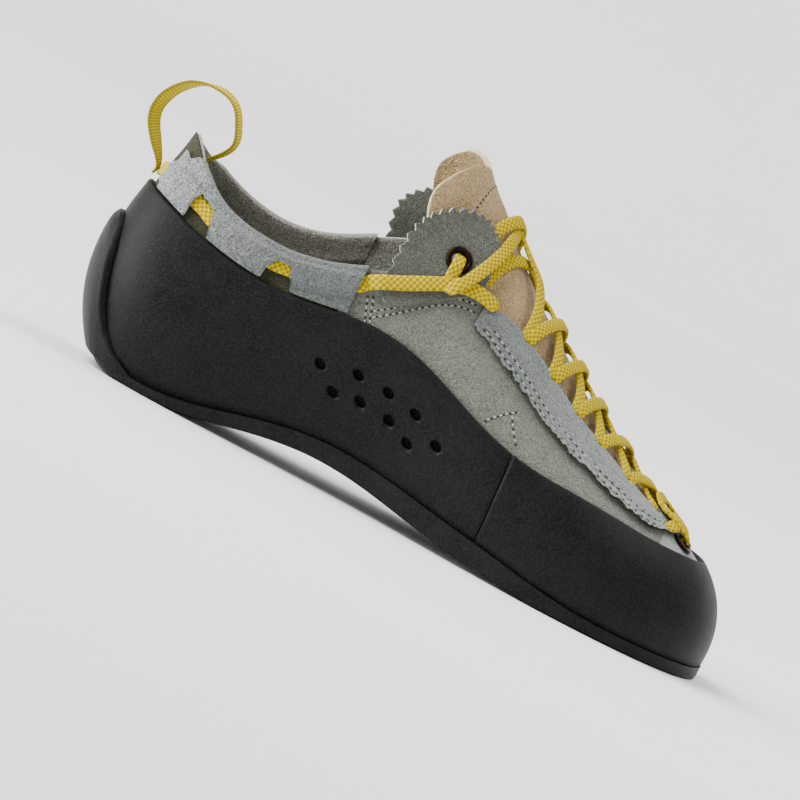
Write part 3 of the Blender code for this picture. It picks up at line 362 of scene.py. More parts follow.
innerSections = (
    (0.076, 0.165, 0.22, 0.90, 0.058, 0.130, 0.962 * collar, 0.96, 36, 10),
    (0.124, 0.259, 0.00, 0.88, 0.106, 0.238, 0.888 * collar, 0.90, 28, 6),
    (0.200, 0.276, 0.26, 0.92, 0.184, 0.300, 0.820 * collar, 0.86, 20, 1),
    (0.288, 0.253, 0.95, 1.05, 0.270, 0.330, 0.855 * collar, 0.88, 14, 0),
    (0.380, 0.241, 1.42, 1.15, 0.354, 0.332, 0.990 * collar, 0.93, 4, 8),
    (0.472, 0.259, 1.30, 1.20, 0.444, 0.300, 1.095 * instep, 0.90, -2, 22),
    (0.564, 0.318, 0.84, 1.20, 0.542, 0.259, 1.035 * instep, 0.77, 2, 36),
    (0.652, 0.394, 0.42, 1.15, 0.636, 0.224, 0.860 * instep, 0.66, 10, 48),
    (0.740, 0.441, 0.12, 1.08, 0.724, 0.200, 0.725 * instep, 0.61, 16, 56),
    (0.824, 0.459, 0.00, 1.02, 0.802, 0.180, 0.595 * instep, 0.57, 18, 62),
    (0.908, 0.429, 0.00, 1.00, 0.838, 0.140, 0.535 * instep, 0.545, 14, 66),
    (0.970, 0.312, 0.00, 1.00, 0.850, 0.082, 0.515 * instep, 0.535, 8, 68),
)
toeNumber = 13
loopCount = 26
pullLow, pullTop = 0.42, 0.36  # how far a section keeps its lean, as shares of its chord
crestFirst = 4.0
crestShares = (1.300, 1.150, 0.985, 0.790, 0.640, 0.515, 0.425, 0.372, 0.358, 0.354)


def shoeX(share):
    return (share - sizes["heelRestAlong"]) * sizes["length"]


def loopOfSections():
    table = np.array([heelSection, *outerSections, toeSection, *reversed(innerSections)], float).T
    lift = table[2] * sizes["archLift"]
    thick = table[3] * sizes["soleThickness"]
    return np.column_stack([
        shoeX(table[0]), table[1] * sizes["ballWidth"], lift + thick + gap,
        shoeX(table[4]), table[5] * sizes["ballWidth"], table[6] + sizes["soleThickness"],
        np.radians(table[8]), np.radians(table[9]), lift, thick,
        table[7] * sizes["randHeight"] + sizes["soleThickness"]])


def splineSlopes(values, closed):
    n = len(values)
    matrix, right = np.zeros((n, n)), np.zeros_like(values)
    for i in range(n):
        before, after = (i - 1) % n, (i + 1) % n
        if closed or 0 < i < n - 1:
            matrix[i, [before, i, after]] += (1, 4, 1)
            right[i] = 3 * (values[after] - values[before])
        else:
            inner = after if i == 0 else before
            matrix[i, [i, inner]] += (2, 1)
            right[i] = 3 * (values[inner] - values[i]) * (1 if i == 0 else -1)
    return np.linalg.solve(matrix, right)


def splineValue(values, slopes, at, closed):
    n = len(values)
    at = np.asarray(at, float)
    start = np.floor(at).astype(int) if closed else np.clip(np.floor(at).astype(int), 0, n - 2)
    f = (at - start)[..., None]
    a, b = start % n, (start + 1) % n
    return (values[a] * (1 + 2 * f) * (1 - f) ** 2 + values[b] * f * f * (3 - 2 * f)
            + slopes[a] * f * (1 - f) ** 2 + slopes[b] * f * f * (f - 1))


sections = loopOfSections()
sectionSlopes = splineSlopes(sections, True)
crestValues = np.array([[share * sizes["crestHeight"] + sizes["soleThickness"]] for share in crestShares])
crestSlopes = splineSlopes(crestValues, False)


def sectionAt(t):
    return splineValue(sections, sectionSlopes, np.asarray(t, float) % loopCount, True)


# The upper's top edge, and the height of the rubber's top edge
def rimAt(t):
    return sectionAt(t)[..., 3:6]


def randTop(t):
    return sectionAt(t)[..., 10]


# Where a place counted from the outer side lies on either side: along the loop, and over the arch
def loopOn(side, r):
    return r if side == outerSide else loopCount - r


def archOn(side, a):
    return a if side == outerSide else 3.0 - a


def unit(vectors):
    return vectors / np.linalg.norm(vectors, axis=-1, keepdims=True)


# How far along a line each of its points is
def runAlong(points):
    return np.concatenate([[0.0], np.cumsum(np.linalg.norm(np.diff(points, axis=0), axis=1))])


def planNormal(t):
    run = sectionAt(np.asarray(t) + 0.01)[..., :2] - sectionAt(np.asarray(t) - 0.01)[..., :2]
    return unit(np.stack([run[..., 1], -run[..., 0]], axis=-1))


def sectionFrame(t):
    values = sectionAt(t)
    out = planNormal(t)
    low, top = values[..., 0:3], values[..., 3:6]
    leanLow, leanTop = values[..., 6:7], values[..., 7:8]
    leave = np.concatenate([out * np.sin(leanLow), np.cos(leanLow)], axis=-1)
    reach = np.concatenate([-out * np.sin(leanTop), np.cos(leanTop)], axis=-1)
    return low, top, leave, reach


def bezier(a, b, c, d, f):
    f = np.asarray(f)[..., None]
    return a * (1 - f) ** 3 + 3 * b * f * (1 - f) ** 2 + 3 * c * f * f * (1 - f) + d * f ** 3


def rawWall(t, v):
    low, top, leave, reach = sectionFrame(t)
    chord = np.linalg.norm(top - low, axis=-1, keepdims=True)
    return bezier(low, low + leave * chord * pullLow, top - reach * chord * pullTop, top, v)


def rawBridge(r, b):
    _, outer, _, outerWay = sectionFrame(r)
    _, inner, _, innerWay = sectionFrame(loopCount - np.asarray(r))
    crest = splineValue(crestValues, crestSlopes, np.asarray(r) - crestFirst, False)
    rise = 8 * crest - 4 * (outer[..., 2:3] + inner[..., 2:3])
    handle = rise / (3 * (outerWay[..., 2:3] + innerWay[..., 2:3]))
    return bezier(outer, outer + outerWay * handle, inner + innerWay * handle, inner, b)


# One section over the foot: 0 to 1 up the outer wall, 1 to 2 over the throat, 2 to 3 down the inner wall
def rawArch(r, a):
    r, a = np.broadcast_arrays(np.asarray(r, float), np.asarray(a, float))
    outer = rawWall(r, np.minimum(a, 1.0))
    inner = rawWall(loopCount - r, np.minimum(3.0 - a, 1.0))
    over = rawBridge(np.maximum(r, crestFirst), np.clip(a - 1.0, 0.0, 1.0))
    a = a[..., None]
    return np.where(a <= 1.0, outer, np.where(a >= 2.0, inner, over))


def offset(surface, p, q, out):
    dp, dq = 0.02, 0.01
    p, q = np.broadcast_arrays(np.asarray(p, float), np.asarray(q, float))
    normal = np.cross(surface(p + dp, q) - surface(p - dp, q), surface(p, q + dq) - surface(p, q - dq))
    return surface(p, q) + unit(normal) * np.asarray(out, float)[..., None]


def wall(t, v, out=0.0):
    return offset(rawWall, t, v, out)


def arch(r, a, out=0.0):
    return offset(rawArch, r, a, out)


# Share up the wall at a height, or at a length below the top edge
def wallShare(t, target, byHeight=True):
    t = np.atleast_1d(np.asarray(t, float))
    target = np.broadcast_to(np.asarray(target, float), t.shape)
    shares = np.linspace(0, 1, 61)
    points = rawWall(t[:, None], shares[None, :])
    if byHeight:
        scale = points[..., 2]
    else:
        steps = np.linalg.norm(np.diff(points, axis=1), axis=-1)
        run = np.concatenate([np.zeros((len(t), 1)), np.cumsum(steps, axis=1)], axis=1)
        scale, target = run, run[:, -1] - target
    return np.array([np.interp(goal, row, shares) for goal, row in zip(target, scale)])


def sidePlaces(side, points):
    r, a = np.meshgrid(np.linspace(0.3, 12.7, 249), np.linspace(0.02, 1.48, 147), indexing="ij")
    archShare = archOn(side, a)
    surface = rawArch(r, archShare)
    usable = (a <= 1.0) | (r >= crestFirst)
    found = []
    for x, z in points:
        far = np.where(usable, np.hypot(surface[..., 0] - x, surface[..., 2] - z), np.inf)
        i, j = np.unravel_index(np.argmin(far), far.shape)
        place = np.array([r[i, j], archShare[i, j]])
        for _ in range(4):
            here = rawArch(*place)[[0, 2]]
            slope = np.column_stack([(rawArch(place[0] + 0.005, place[1])[[0, 2]] - here) / 0.005,
                                     (rawArch(place[0], place[1] + 0.005)[[0, 2]] - here) / 0.005])
            place = place + np.linalg.solve(slope, np.array([x, z]) - here)
        found.append(place)
    return np.array(found)


def alongTable(table, t):
    t = np.abs((np.asarray(t, float) + toeNumber) % loopCount - toeNumber)
    places, values = np.array(table, float).T
    return np.interp(t, places, values)


def smoothPath(points, count):
    points = np.array(points, float)
    return splineValue(points, splineSlopes(points, False), np.linspace(0, len(points) - 1, count), False)


# Even steps along a path of points in space
def evenPath(points, step):
    run = runAlong(points[:, :3])
    count = max(int(run[-1] / step), 1) + 1
    at = np.linspace(0, run[-1], count)
    return np.column_stack([np.interp(at, run, points[:, k]) for k in range(points.shape[1])])


# Seeded smooth noise from -1 to 1: along one line, or through space
def ripple(x, step, seed):
    values = np.random.RandomState(seed).uniform(-1, 1, 4096)
    x = np.asarray(x, float) / step + 2048
    i = np.floor(x).astype(int)
    f = x - i
    f = f * f * (3 - 2 * f)
    return values[i % 4096] * (1 - f) + values[(i + 1) % 4096] * f


# Ripples or lumps in layers, each given as height, size and seed
def rippled(x, layers):
    return sum(height * ripple(x, size, seed) for height, size, seed in layers)


def lumpy(points, layers):
    return sum(height * lumps(points, size, seed) for height, size, seed in layers)


def lumps(points, size, seed):
    values = np.random.RandomState(seed).uniform(-1, 1, 8192)
    scaled = points / size + 1000.0
    cell = np.floor(scaled).astype(int)
    f = scaled - cell
    f = f * f * (3 - 2 * f)
    total = 0.0
    for corner in np.ndindex(2, 2, 2):
        key = ((cell + corner) @ np.array((73, 1999, 31337))) % 8192
        total = total + values[key] * np.prod(np.where(corner, f, 1 - f), axis=-1)
    return total


def smoothStep(x, low, high):
    f = np.clip((np.asarray(x, float) - low) / (high - low), 0, 1)
    return f * f * (3 - 2 * f)


# Mesh builders

def meshPiece(name, points, faces, materials, indices=None, flatFrom=None, uv=None):
    mesh = bpy.data.meshes.new(name)
    mesh.from_pydata([tuple(p) for p in np.asarray(points, float)], [], faces)
    for finish in materials:
        mesh.materials.append(finish)
    mesh.shade_smooth()
    if indices is not None:
        mesh.polygons.foreach_set("material_index", indices)
    if flatFrom is not None:
        smooth = np.ones(len(faces), bool)
        smooth[flatFrom:] = False
        mesh.polygons.foreach_set("use_smooth", smooth)
    if uv is not None:
        layer = mesh.uv_layers.new(name="UVMap")
        corners = np.empty(len(mesh.loops), int)
        mesh.loops.foreach_get("vertex_index", corners)
        layer.data.foreach_set("uv", np.asarray(uv, float)[corners].ravel())
    mesh.update()
    made = bpy.data.objects.new(name, mesh)
    bpy.context.scene.collection.objects.link(made)
    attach(made, "root")
    return made


def gridFaces(rows, columns, closedRows=False, start=0):
    faces = []
    for i in range(rows if closedRows else rows - 1):
        k = (i + 1) % rows
        for j in range(columns - 1):
            faces.append(tuple(start + n for n in (
                i * columns + j, k * columns + j, k * columns + j + 1, i * columns + j + 1)))
    return faces


# A sheet between two grids: its outside, its inside and its cut edge each have their own finish
def sheetPiece(name, inner, outer, materials, closedRows=False, outsideNumbers=None):
    rows, columns = inner.shape[:2]
    count = rows * columns
    outside = gridFaces(rows, columns, closedRows, start=count)
    inside = [face[::-1] for face in gridFaces(rows, columns, closedRows)]
    sides = [(i * columns + j, (i + 1) % rows * columns + j, flip)
             for j, flip in ((0, False), (columns - 1, True)) for i in range(rows if closedRows else rows - 1)]
    if not closedRows:
        sides += [(i * columns + j, i * columns + j + 1, flip)
                  for i, flip in ((0, True), (rows - 1, False)) for j in range(columns - 1)]
    edges = []
    for a, b, flip in sides:
        quad = (a, b, count + b, count + a)
        edges.append(quad[::-1] if flip else quad)
    faces = outside + inside + edges
    numbers = [0] * len(outside) if outsideNumbers is None else [int(n) for n in outsideNumbers.ravel()]
    indices = numbers + [1] * len(inside) + [2] * len(edges)
    points = np.concatenate([inner.reshape(-1, 3), outer.reshape(-1, 3)])
    made = meshPiece(name, points, faces, materials, indices, flatFrom=len(outside) + len(inside))
    weld(made)
    return made


def weld(made):
    work = bmesh.new()
    work.from_mesh(made.data)
    bmesh.ops.remove_doubles(work, verts=work.verts, dist=1e-6)
    bmesh.ops.dissolve_degenerate(work, edges=work.edges, dist=1e-7)
    bmesh.ops.recalc_face_normals(work, faces=work.faces)
    work.to_mesh(made.data)
    work.free()


# Faces of a closed tube made of rings of points, with its two ends
def tubeFaces(rings, sides, start=0):
    faces = []
    for i in range(rings - 1):
        for j in range(sides):
            k = (j + 1) % sides
            faces.append(tuple(start + n for n in (
                i * sides + j, i * sides + k, (i + 1) * sides + k, (i + 1) * sides + j)))
    last = start + (rings - 1) * sides
    return faces + [tuple(range(start, start + sides))[::-1], tuple(range(last, last + sides))]


# A flat strap with rounded edges along a path: the path is its underside
strap = {"sides": 14, "squareAcross": 0.55, "squareHigh": 0.75, "uneven": 0.03, "unevenLength": 4 * mm}


def strapPiece(name, path, normals, width, thickness, finish, twist=None, roundEnds=True):
    along = unit(np.gradient(path, axis=0))
    side = unit(np.cross(along, normals))
    normals = np.cross(side, along)
    if twist is not None:
        turn = np.radians(twist)[:, None]
        side, normals = (side * np.cos(turn) + normals * np.sin(turn),
                         normals * np.cos(turn) - side * np.sin(turn))
    angles = np.arange(strap["sides"]) * 2 * math.pi / strap["sides"]
    across = np.sign(np.cos(angles)) * np.abs(np.cos(angles)) ** strap["squareAcross"]
    high = np.sign(np.sin(angles)) * np.abs(np.sin(angles)) ** strap["squareHigh"]
    run = runAlong(path)
    full = np.ones(len(path))
    if roundEnds:
        for distance in (run, run[-1] - run):
            near = np.clip(distance / (0.5 * width), 0, 1)
            full *= np.sqrt(np.maximum(1 - (1 - near) ** 2, 0.02))
    widths = width * full * (1 + strap["uneven"] * ripple(run, strap["unevenLength"], len(name)))
    thicks = thickness * (0.5 + 0.5 * full)
    centre = path + normals * thickness / 2
    rings = (centre[:, None, :] + side[:, None, :] * (across[None, :, None] * widths[:, None, None] / 2)
             + normals[:, None, :] * (high[None, :, None] * thicks[:, None, None] / 2))
    faces = tubeFaces(len(path), strap["sides"])
    uv = np.stack(np.broadcast_arrays(run[:, None] / mm, across[None, :]), axis=-1).reshape(-1, 2)
    made = meshPiece(name, rings.reshape(-1, 3), faces, [finish], uv=uv)
    weld(made)
    return made


# A strap lying over the foot through places given as section number, share of the arch and lift in mm
def strapOver(name, places, width, thickness, finish):
    r, a, lift = smoothPath([(r, a, lift * mm) for r, a, lift in places], 24 * len(places)).T
    path = arch(r, a, lift)
    both = evenPath(np.concatenate([path, arch(r, a, lift + 1 * mm) - path], axis=1), 0.6 * mm)
    return strapPiece(name, both[:, :3], both[:, 3:], width, thickness, finish)


# Short threads and needle holes along a line of points; outs are unit vectors out of the leather
stitching = {
    "pitch": 2.9 * mm,
    "share": 0.58,
    "thread": 0.55 * mm,
    "hole": 0.62 * mm,
    "sides": 6,
    "rings": (-0.9, -0.35, 0.35, 0.9),
}


def stitchRow(name, points, outs, threads=True, pitch=stitching["pitch"]):
    both = evenPath(np.concatenate([points, outs], axis=1), pitch)
    points, outs = both[:, :3], unit(both[:, 3:])
    along = unit(np.gradient(points, axis=0))
    side = np.cross(outs, along)
    holeWide, threadWide = 0.8 * stitching["hole"], 0.5 * stitching["thread"]
    beads = []
    for i in range(len(points)):
        ways = (along[i], side[i], outs[i])
        beads.append((points[i] + outs[i] * 0.02 * mm, ways, (stitching["hole"], holeWide, 0.12 * mm), 1))
        if threads and i + 1 < len(points):
            middle = (points[i] + points[i + 1]) / 2 + outs[i] * 0.12 * mm
            beads.append((middle, ways, (0.5 * stitching["share"] * pitch, threadWide, 0.22 * mm), 0))
    n, rings = stitching["sides"], stitching["rings"]
    allPoints, faces, indices = [], [], []
    for centre, (a, b, c), (la, lb, lc), finish in beads:
        faces += tubeFaces(len(rings), n, start=len(allPoints))
        for lat in rings:
            ring = math.sqrt(1 - lat * lat)
            for k in range(n):
                turn = 2 * math.pi * k / n
                beside = b * lb * ring * math.cos(turn) + c * lc * ring * math.sin(turn)
                allPoints.append(centre + a * la * lat + beside)
        indices += [finish] * ((len(rings) - 1) * n + 2)
    return meshPiece(name, allPoints, faces, [finishes["thread"], finishes["needleHole"]], indices)


centre = placeCamera()
placeLights(centre)


# Floor: a pale sweep that runs flat under the shoe and curves up far behind it
def studioFloor():
    values = {"half": 6.0, "near": -5.0, "bend": 3.0, "radius": 2.5, "height": 5.0, "steps": 24}
    profile = [(values["near"], 0.0), (values["bend"], 0.0)]
    for i in range(1, values["steps"] + 1):
        turn = 0.5 * math.pi * i / values["steps"]
        profile.append((values["bend"] + values["radius"] * math.sin(turn),
                        values["radius"] * (1 - math.cos(turn))))
    profile.append((values["bend"] + values["radius"], values["height"]))
    points = np.array([[(x, y, z) for x in (-values["half"], values["half"])] for y, z in profile])
    made, tree, shader = newFinish("paleStudioPaper", 0.9, specular=0.2)
    where = addNode(tree, "TexCoord").outputs["Object"]
    tone = grainOf(tree, where, 0.9, 0.3, 0.7)
    tree.links.new(mixOf(tree, tone, toLinear("#ededee"), toLinear("#f3f3f4")), shader.inputs["Base Color"])
    mesh = bpy.data.meshes.new("studioFloor")
    mesh.from_pydata([tuple(p) for p in points.reshape(-1, 3)], [], gridFaces(len(profile), 2))
    mesh.materials.append(made)
    mesh.shade_smooth()
    floor = bpy.data.objects.new("studioFloor", mesh)
    bpy.context.scene.collection.objects.link(floor)


studioFloor()
print("camera, lights and floor set")

bothSides = ((outerSide, "Outer"), (innerSide, "Inner"))

# Collar cuff's sizes, which the upper needs too; layers are given as height, size and seed
cuff = {
    "end": 4.70,
    "shoulder": 2.2 * mm,
    "foot": 0.7 * mm,
    "openings": ((-3.55, 5.4 * mm), (-1.95, 5.8 * mm), (1.95, 5.8 * mm), (3.55, 5.4 * mm)),
    "bareTab": 5.4 * mm,
    "tabHalf": 19 * mm,
    "heelHalf": 9.5 * mm,
    "ease": 0.3 * mm,
    "laceDrop": ((0, 0.210), (0.6, 0.200), (1.0, 0.180), (1.5, 0.125), (2.0, 0.082), (3.0, 0.060),
                 (4.0, 0.060), (5.0, 0.078), (13.0, 0.078)),
    "columns": 30,
    "rowStep": 0.45 * mm,
    "least": 0.12 * mm,  # between two columns where the cuff is torn away
    "frayed": ((0.8 * mm, 1.5 * mm, 21), (0.5 * mm, 0.6 * mm, 22)),
    "wander": ((1.2 * mm, 2.0 * mm, 23),),
    "relief": ((0.22 * mm, 7 * mm, 31), (0.12 * mm, 2.2 * mm, 32)),
    "foldRelief": ((0.3 * mm, 3 * mm, 35),),
    "skived": ((1.5 * mm, 0.1), (3.0 * mm, 0.3), (5.0 * mm, 0.6), (8.0 * mm, 0.88), (11.0 * mm, 1.0)),
}

# Upper: suede outside and inside, with bites in the throat's edge where the lace passes

throat = {
    "notches": (6.62, 7.17, 7.75, 8.32, 8.87, 9.57, 10.60),
    "biteDepth": 1.7 * mm,
    "biteHalf": 3.0 * mm,
}


def throatRun():
    r = np.linspace(5.0, 13.0, 801)
    return r, {side: runAlong(rimAt(loopOn(side, r))) for side, _ in bothSides}


throatR, throatLength = throatRun()


# How far the throat's edge is cut back at a section, by length
def biteAt(t):
    t = np.asarray(t, float) % loopCount
    side = np.where(t <= toeNumber, outerSide, innerSide)
    r = np.where(t <= toeNumber, t, loopCount - t)
    depth = np.zeros_like(r)
    for which in (outerSide, innerSide):
        here = np.interp(r, throatR, throatLength[which])
        for notch in throat["notches"]:
            middle = np.interp(notch, throatR, throatLength[which])
            near = np.clip(1 - np.abs(here - middle) / throat["biteHalf"], 0, 1)
            bite = throat["biteDepth"] * near ** 0.7
            depth = np.where((side == which) & (r > 6.2), np.maximum(depth, bite), depth)
    return depth


def buildUpper():
    values = {"rows": 520, "columns": 46, "toePiece": 0.853, "hidden": 1.5 * mm, "underCuff": 0.15,
              "relief": ((0.25 * mm, 14 * mm, 3), (0.08 * mm, 4 * mm, 4)), "proud": 0.05 * mm}
    t = np.arange(values["rows"]) * loopCount / values["rows"]
    top = wallShare(t, biteAt(t), byHeight=False)
    shares = np.linspace(0, 1, values["columns"] + 1)[None, :] * top[:, None]
    base = wall(t[:, None], shares)
    overRubber = base[..., 2] - randTop(t)[:, None]
    relief = lumpy(base, values["relief"]) * smoothStep(overRubber, 0.5 * mm, 5 * mm) - 0.02 * mm
    relief = relief * smoothStep(1 - shares, 0.0, 0.08)
    outer = wall(t[:, None], shares, np.minimum(relief, values["proud"]))
    inner = wall(t[:, None], shares, -sizes["upperWall"])
    # finer suede round the toe eyelets; the heel tab's own dark olive suede, which is also painted shade on the
    # upper under the cuff where its tears open; near-black painted shade under the rubber, seen through the
    # rand's vents
    keys = ("quarter", "lining", "rawEdge", "backing", "patch", "tabAndPaintedShade")
    numbers = np.zeros((values["rows"], values["columns"]), int)
    numbers[(base[..., 0] > shoeX(values["toePiece"]))[:, 1:]] = keys.index("patch")
    numbers[np.minimum(t, loopCount - t) < cuff["end"] - values["underCuff"]] = keys.index("tabAndPaintedShade")
    numbers[(overRubber < -values["hidden"])[:, 1:]] = keys.index("backing")
    made = sheetPiece("suedeUpper", inner, outer, [finishes[key] for key in keys], closedRows=True,
                      outsideNumbers=numbers)
    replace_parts(made, "upper")


buildUpper()
print("upper built")

# Rubber rand, in a rear and a toe piece, with vents through the outer side of the rear one

rand = {
    "seam": 7.75,
    "seamHalf": 0.009,
    "columns": 22,
    "rowsEach": 18,  # rows to a section
    "edgeRound": 0.7 * mm,
    "relief": ((0.22 * mm, 22 * mm, 7), (0.05 * mm, 6 * mm, 8)),
    "ventLean": -26,
    "vents": ((0.337, 0.0381), (0.389, 0.0409), (0.436, 0.0404), (0.482, 0.0384), (0.526, 0.0324),
              (0.369, 0.0319), (0.408, 0.0334), (0.454, 0.0325), (0.490, 0.0286)),
    "ventLength": 4.7 * mm,
    "ventHeight": 3.1 * mm,
}


def frameAt(place):
    point = rawArch(*place)
    normal = Vector(arch(*place, 1.0) - point).normalized()  # out of the surface
    along = Vector((1.0, 0.0, 0.0))
    along = (along - normal * along.dot(normal)).normalized()
    basis = Matrix((along, normal.cross(along), normal)).transposed().to_4x4()
    return Matrix.Translation(Vector(point)) @ basis


def cutVents(made):
    work = bmesh.new()
    lean = Matrix.Rotation(math.radians(rand["ventLean"]), 4, "Z")
    for x, z in rand["vents"]:
        place = frameAt(sidePlaces(outerSide, [(shoeX(x), z)])[0])
        scale = Matrix.Diagonal((rand["ventLength"] / 2, rand["ventHeight"] / 2, 0.008, 1.0))
        cone = bmesh.ops.create_cone(work, cap_ends=True, segments=24, radius1=1.0, radius2=1.0, depth=1.0)
        bmesh.ops.transform(work, matrix=place @ lean @ scale, verts=cone["verts"])
    mesh = bpy.data.meshes.new("ventCutter")
    work.to_mesh(mesh)
    work.free()
    cutter = bpy.data.objects.new("ventCutter", mesh)
    bpy.context.scene.collection.objects.link(cutter)
    tool = made.modifiers.new("vents", "BOOLEAN")
    tool.operation = "DIFFERENCE"
    tool.solver = "EXACT"
    tool.object = cutter
    applyModifiers(made)
    bpy.data.objects.remove(cutter, do_unlink=True)


def applyModifiers(made):
    graph = bpy.context.evaluated_depsgraph_get()
    result = bpy.data.meshes.new_from_object(made.evaluated_get(graph))
    made.modifiers.clear()
    old = made.data
    made.data = result
    bpy.data.meshes.remove(old)


def buildRand(name, first, last, node):
    rows = np.linspace(first, last, int((last - first) * rand["rowsEach"]) + 1)
    # columns crowd together towards the top edge, which is rounded over
    spread = 1 - (1 - np.linspace(0, 1, rand["columns"] + 1)) ** 1.4
    shares = wallShare(rows, randTop(rows))[:, None] * spread[None, :]
    base = wall(rows[:, None], shares)
    below = np.linalg.norm(base - base[:, -1:], axis=-1)
    near = np.clip(1 - below / rand["edgeRound"], 0, 1)
    lip = rand["edgeRound"] * (1 - np.sqrt(1 - near ** 2))
    outer = wall(rows[:, None], shares, gap + sizes["randWall"] + lumpy(base, rand["relief"]) - lip)
    inner = wall(rows[:, None], shares, np.full_like(lip, 0.12 * mm))
    made = sheetPiece(name, inner, outer, [finishes["rand"]] * 3)
    if first < 0:
        cutVents(made)
    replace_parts(made, node)


rearEnd, toeEnd = rand["seam"] - rand["seamHalf"], rand["seam"] + rand["seamHalf"]
buildRand("rubberRandRear", -rearEnd, rearEnd, "rand_rear")
buildRand("rubberRandToe", toeEnd, loopCount - toeEnd, "rand_toe")
print("rand built")

# Sole: one moulded piece with a thick edge, which comes up round the heel

sole = {
    "capHeight": 0.0420,
    "capWall": 0.0028,
    "capSteps": 20,
    "edgeRound": 0.0008,
    "flatSpot": 0.0009,
    "capEdge": ((0, 1.0), (0.4, 0.99), (0.6, 0.95), (0.75, 0.89), (0.9, 0.76), (1.0, 0.58), (1.1, 0.36),
                (1.25, 0.19), (1.5, 0.09), (1.75, 0.04), (2.0, 0.0), (13.0, 0.0)),
    "capFull": ((0, 1.0), (0.9, 1.0), (1.1, 0.85), (1.25, 0.62), (1.5, 0.36), (1.75, 0.16), (2.0, 0.0),
                (13.0, 0.0)),
    "rows": (0.0, 0.1, 0.2, 0.3, 0.4, 0.5, 0.58, 0.66, 0.72, 0.78, 0.83, 0.87, 0.91, 0.95, 0.98, 1.01, 1.04,
             1.07, 1.1, 1.15, 1.2, 1.25, 1.3, 1.4, 1.5, 1.6, 1.7, 1.8, 1.9),
}
capInside = gap + sizes["randWall"] + gap


def soleRim(t):
    values = sectionAt(t)
    out = np.append(planNormal(t), 0.0)
    low, lean, lift = values[0:3], values[6], max(values[8] - sole["flatSpot"], 0.0)
    full = float(alongTable(sole["capFull"], t))
    rise = float(alongTable(sole["capEdge"], t)) * sole["capHeight"]
    top = float(wallShare(t, low[2] + rise)[0]) if full > 0 else 0.0
    rim = capInside + sole["capWall"] * full
    drop = np.array([0.0, 0.0, gap])
    shares = np.linspace(0, top, sole["capSteps"] + 1)
    outer = wall(t, shares, rim) - drop
    outer[-1] = wall(t, top, capInside + 0.5 * sole["capWall"] * full) - drop
    outer[-2] = wall(t, shares[-2], rim - 0.12 * sole["capWall"] * full) - drop
    inner = wall(t, shares[::-1], capInside)
    inner[-1 if full > 0 else 0:] -= drop
    under = np.array([low[0], low[1], lift])
    room = rim * math.cos(lean) - sole["edgeRound"] * (1 + 1.5 * full)
    corner = under + out * room + np.array([0.0, 0.0, 0.0004 + 0.0012 * full])
    high = max(lift + sole["edgeRound"] * 1.4, outer[0][2] - 0.9 * values[9])
    side = np.array([outer[0][0], outer[0][1], high]) * (1 - full) + outer[0] * full
    middle = 0.5 * (corner + side) + (out - np.array([0.0, 0.0, 1.0])) * 0.00018 * (1 - full)
    return np.array([under, under * 0.3 + corner * 0.7, corner, middle, side, *outer, *inner, low - drop])


def buildSole():
    rows = np.array([*sole["rows"], *np.arange(2.0, 13.001, 0.1)])
    across = np.linspace(0, 1, 10)[1:-1, None]
    grid = []
    for r in rows:
        left, right = soleRim(r), soleRim(loopCount - r)
        bottom = right[0] * (1 - across) + left[0] * across
        top = left[-1] * (1 - across) + right[-1] * across
        grid.append(np.concatenate([left, top, right[::-1], bottom]))
    grid = np.array(grid)
    grid = np.concatenate([grid, grid[:, :1]], axis=1)
    made = meshPiece("rubberSole", grid.reshape(-1, 3), gridFaces(*grid.shape[:2]), [finishes["sole"]])
    weld(made)
    made.data.set_sharp_from_angle(angle=math.radians(50))
    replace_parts(made, "outsole")


buildSole()


# Insole: leather, a little dished across its width along its whole length
def buildInsole():
    rows = np.array([*np.arange(0, 2, 0.1), *np.arange(2.0, 13.001, 0.2)])
    across = np.linspace(0, 1, 19)[:, None]
    lower, upper = [], []
    for r in rows:
        ends = []
        for t in (r, loopCount - r):
            values = sectionAt(t)
            inset = sizes["upperWall"] / math.cos(values[6]) + 2 * gap
            ends.append(values[0:3] - np.append(planNormal(t), 0.0) * inset)
        if r in (0.0, float(toeNumber)):
            ends[1] = ends[0]
        bottom = ends[0] * (1 - across) + ends[1] * across
        hollow = np.sin(math.pi * across)
        dish = -0.5 * mm * hollow + 0.5 * mm * (1 - hollow) ** 4
        lower.append(bottom)
        upper.append(bottom + np.array([0.0, 0.0, 1.0]) * (sizes["insoleWall"] + dish))
    made = sheetPiece("leatherInsole", np.array(lower), np.array(upper), [finishes["insole"]] * 3)
    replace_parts(made, "insole")


buildInsole()
print("sole and insole built")

# Collar cuff: suede folded over the rim and the lace, in two halves, each torn open twice where the lace shows.
# They end beside the pull loop, and there stop below the rim and leave the tab bare.

lace = {"width": 5.2 * mm, "thickness": 1.5 * mm, "channel": 5.5 * mm}


def rimLength(t):
    fine = np.linspace(-7, 7, 1121)
    run = runAlong(rimAt(fine))
    return np.interp(t, fine, run - np.interp(0.0, fine, run))


def cuffRows():
    fine = np.linspace(-cuff["end"], cuff["end"], 4001)
    run = rimLength(fine)
    step = cuff["rowStep"]
    return np.interp(np.arange(run[0], run[-1] + 0.5 * step, step), run, fine)


# How far below the rim the cuff ends at one row, where it would reach down to foot if it weren't torn
def tornFoot(run, foot, left, middle):
    for opening, openHalf in cuff["openings"]:
        share = abs(run - rimLength(opening) + rippled(run, cuff["wander"])) / openHalf
        if share < 1.0:
            # the tear slants out at its sides and stops just over the lace
            top = middle - lace["channel"] * (0.62 - 0.25 * share ** 2) + rippled(run, cuff["frayed"])
            torn = max(top, left + 1.0 * mm)
            foot = foot + (min(foot, torn) - foot) * smoothStep(1 - share, 0.0, 0.42)
    return foot


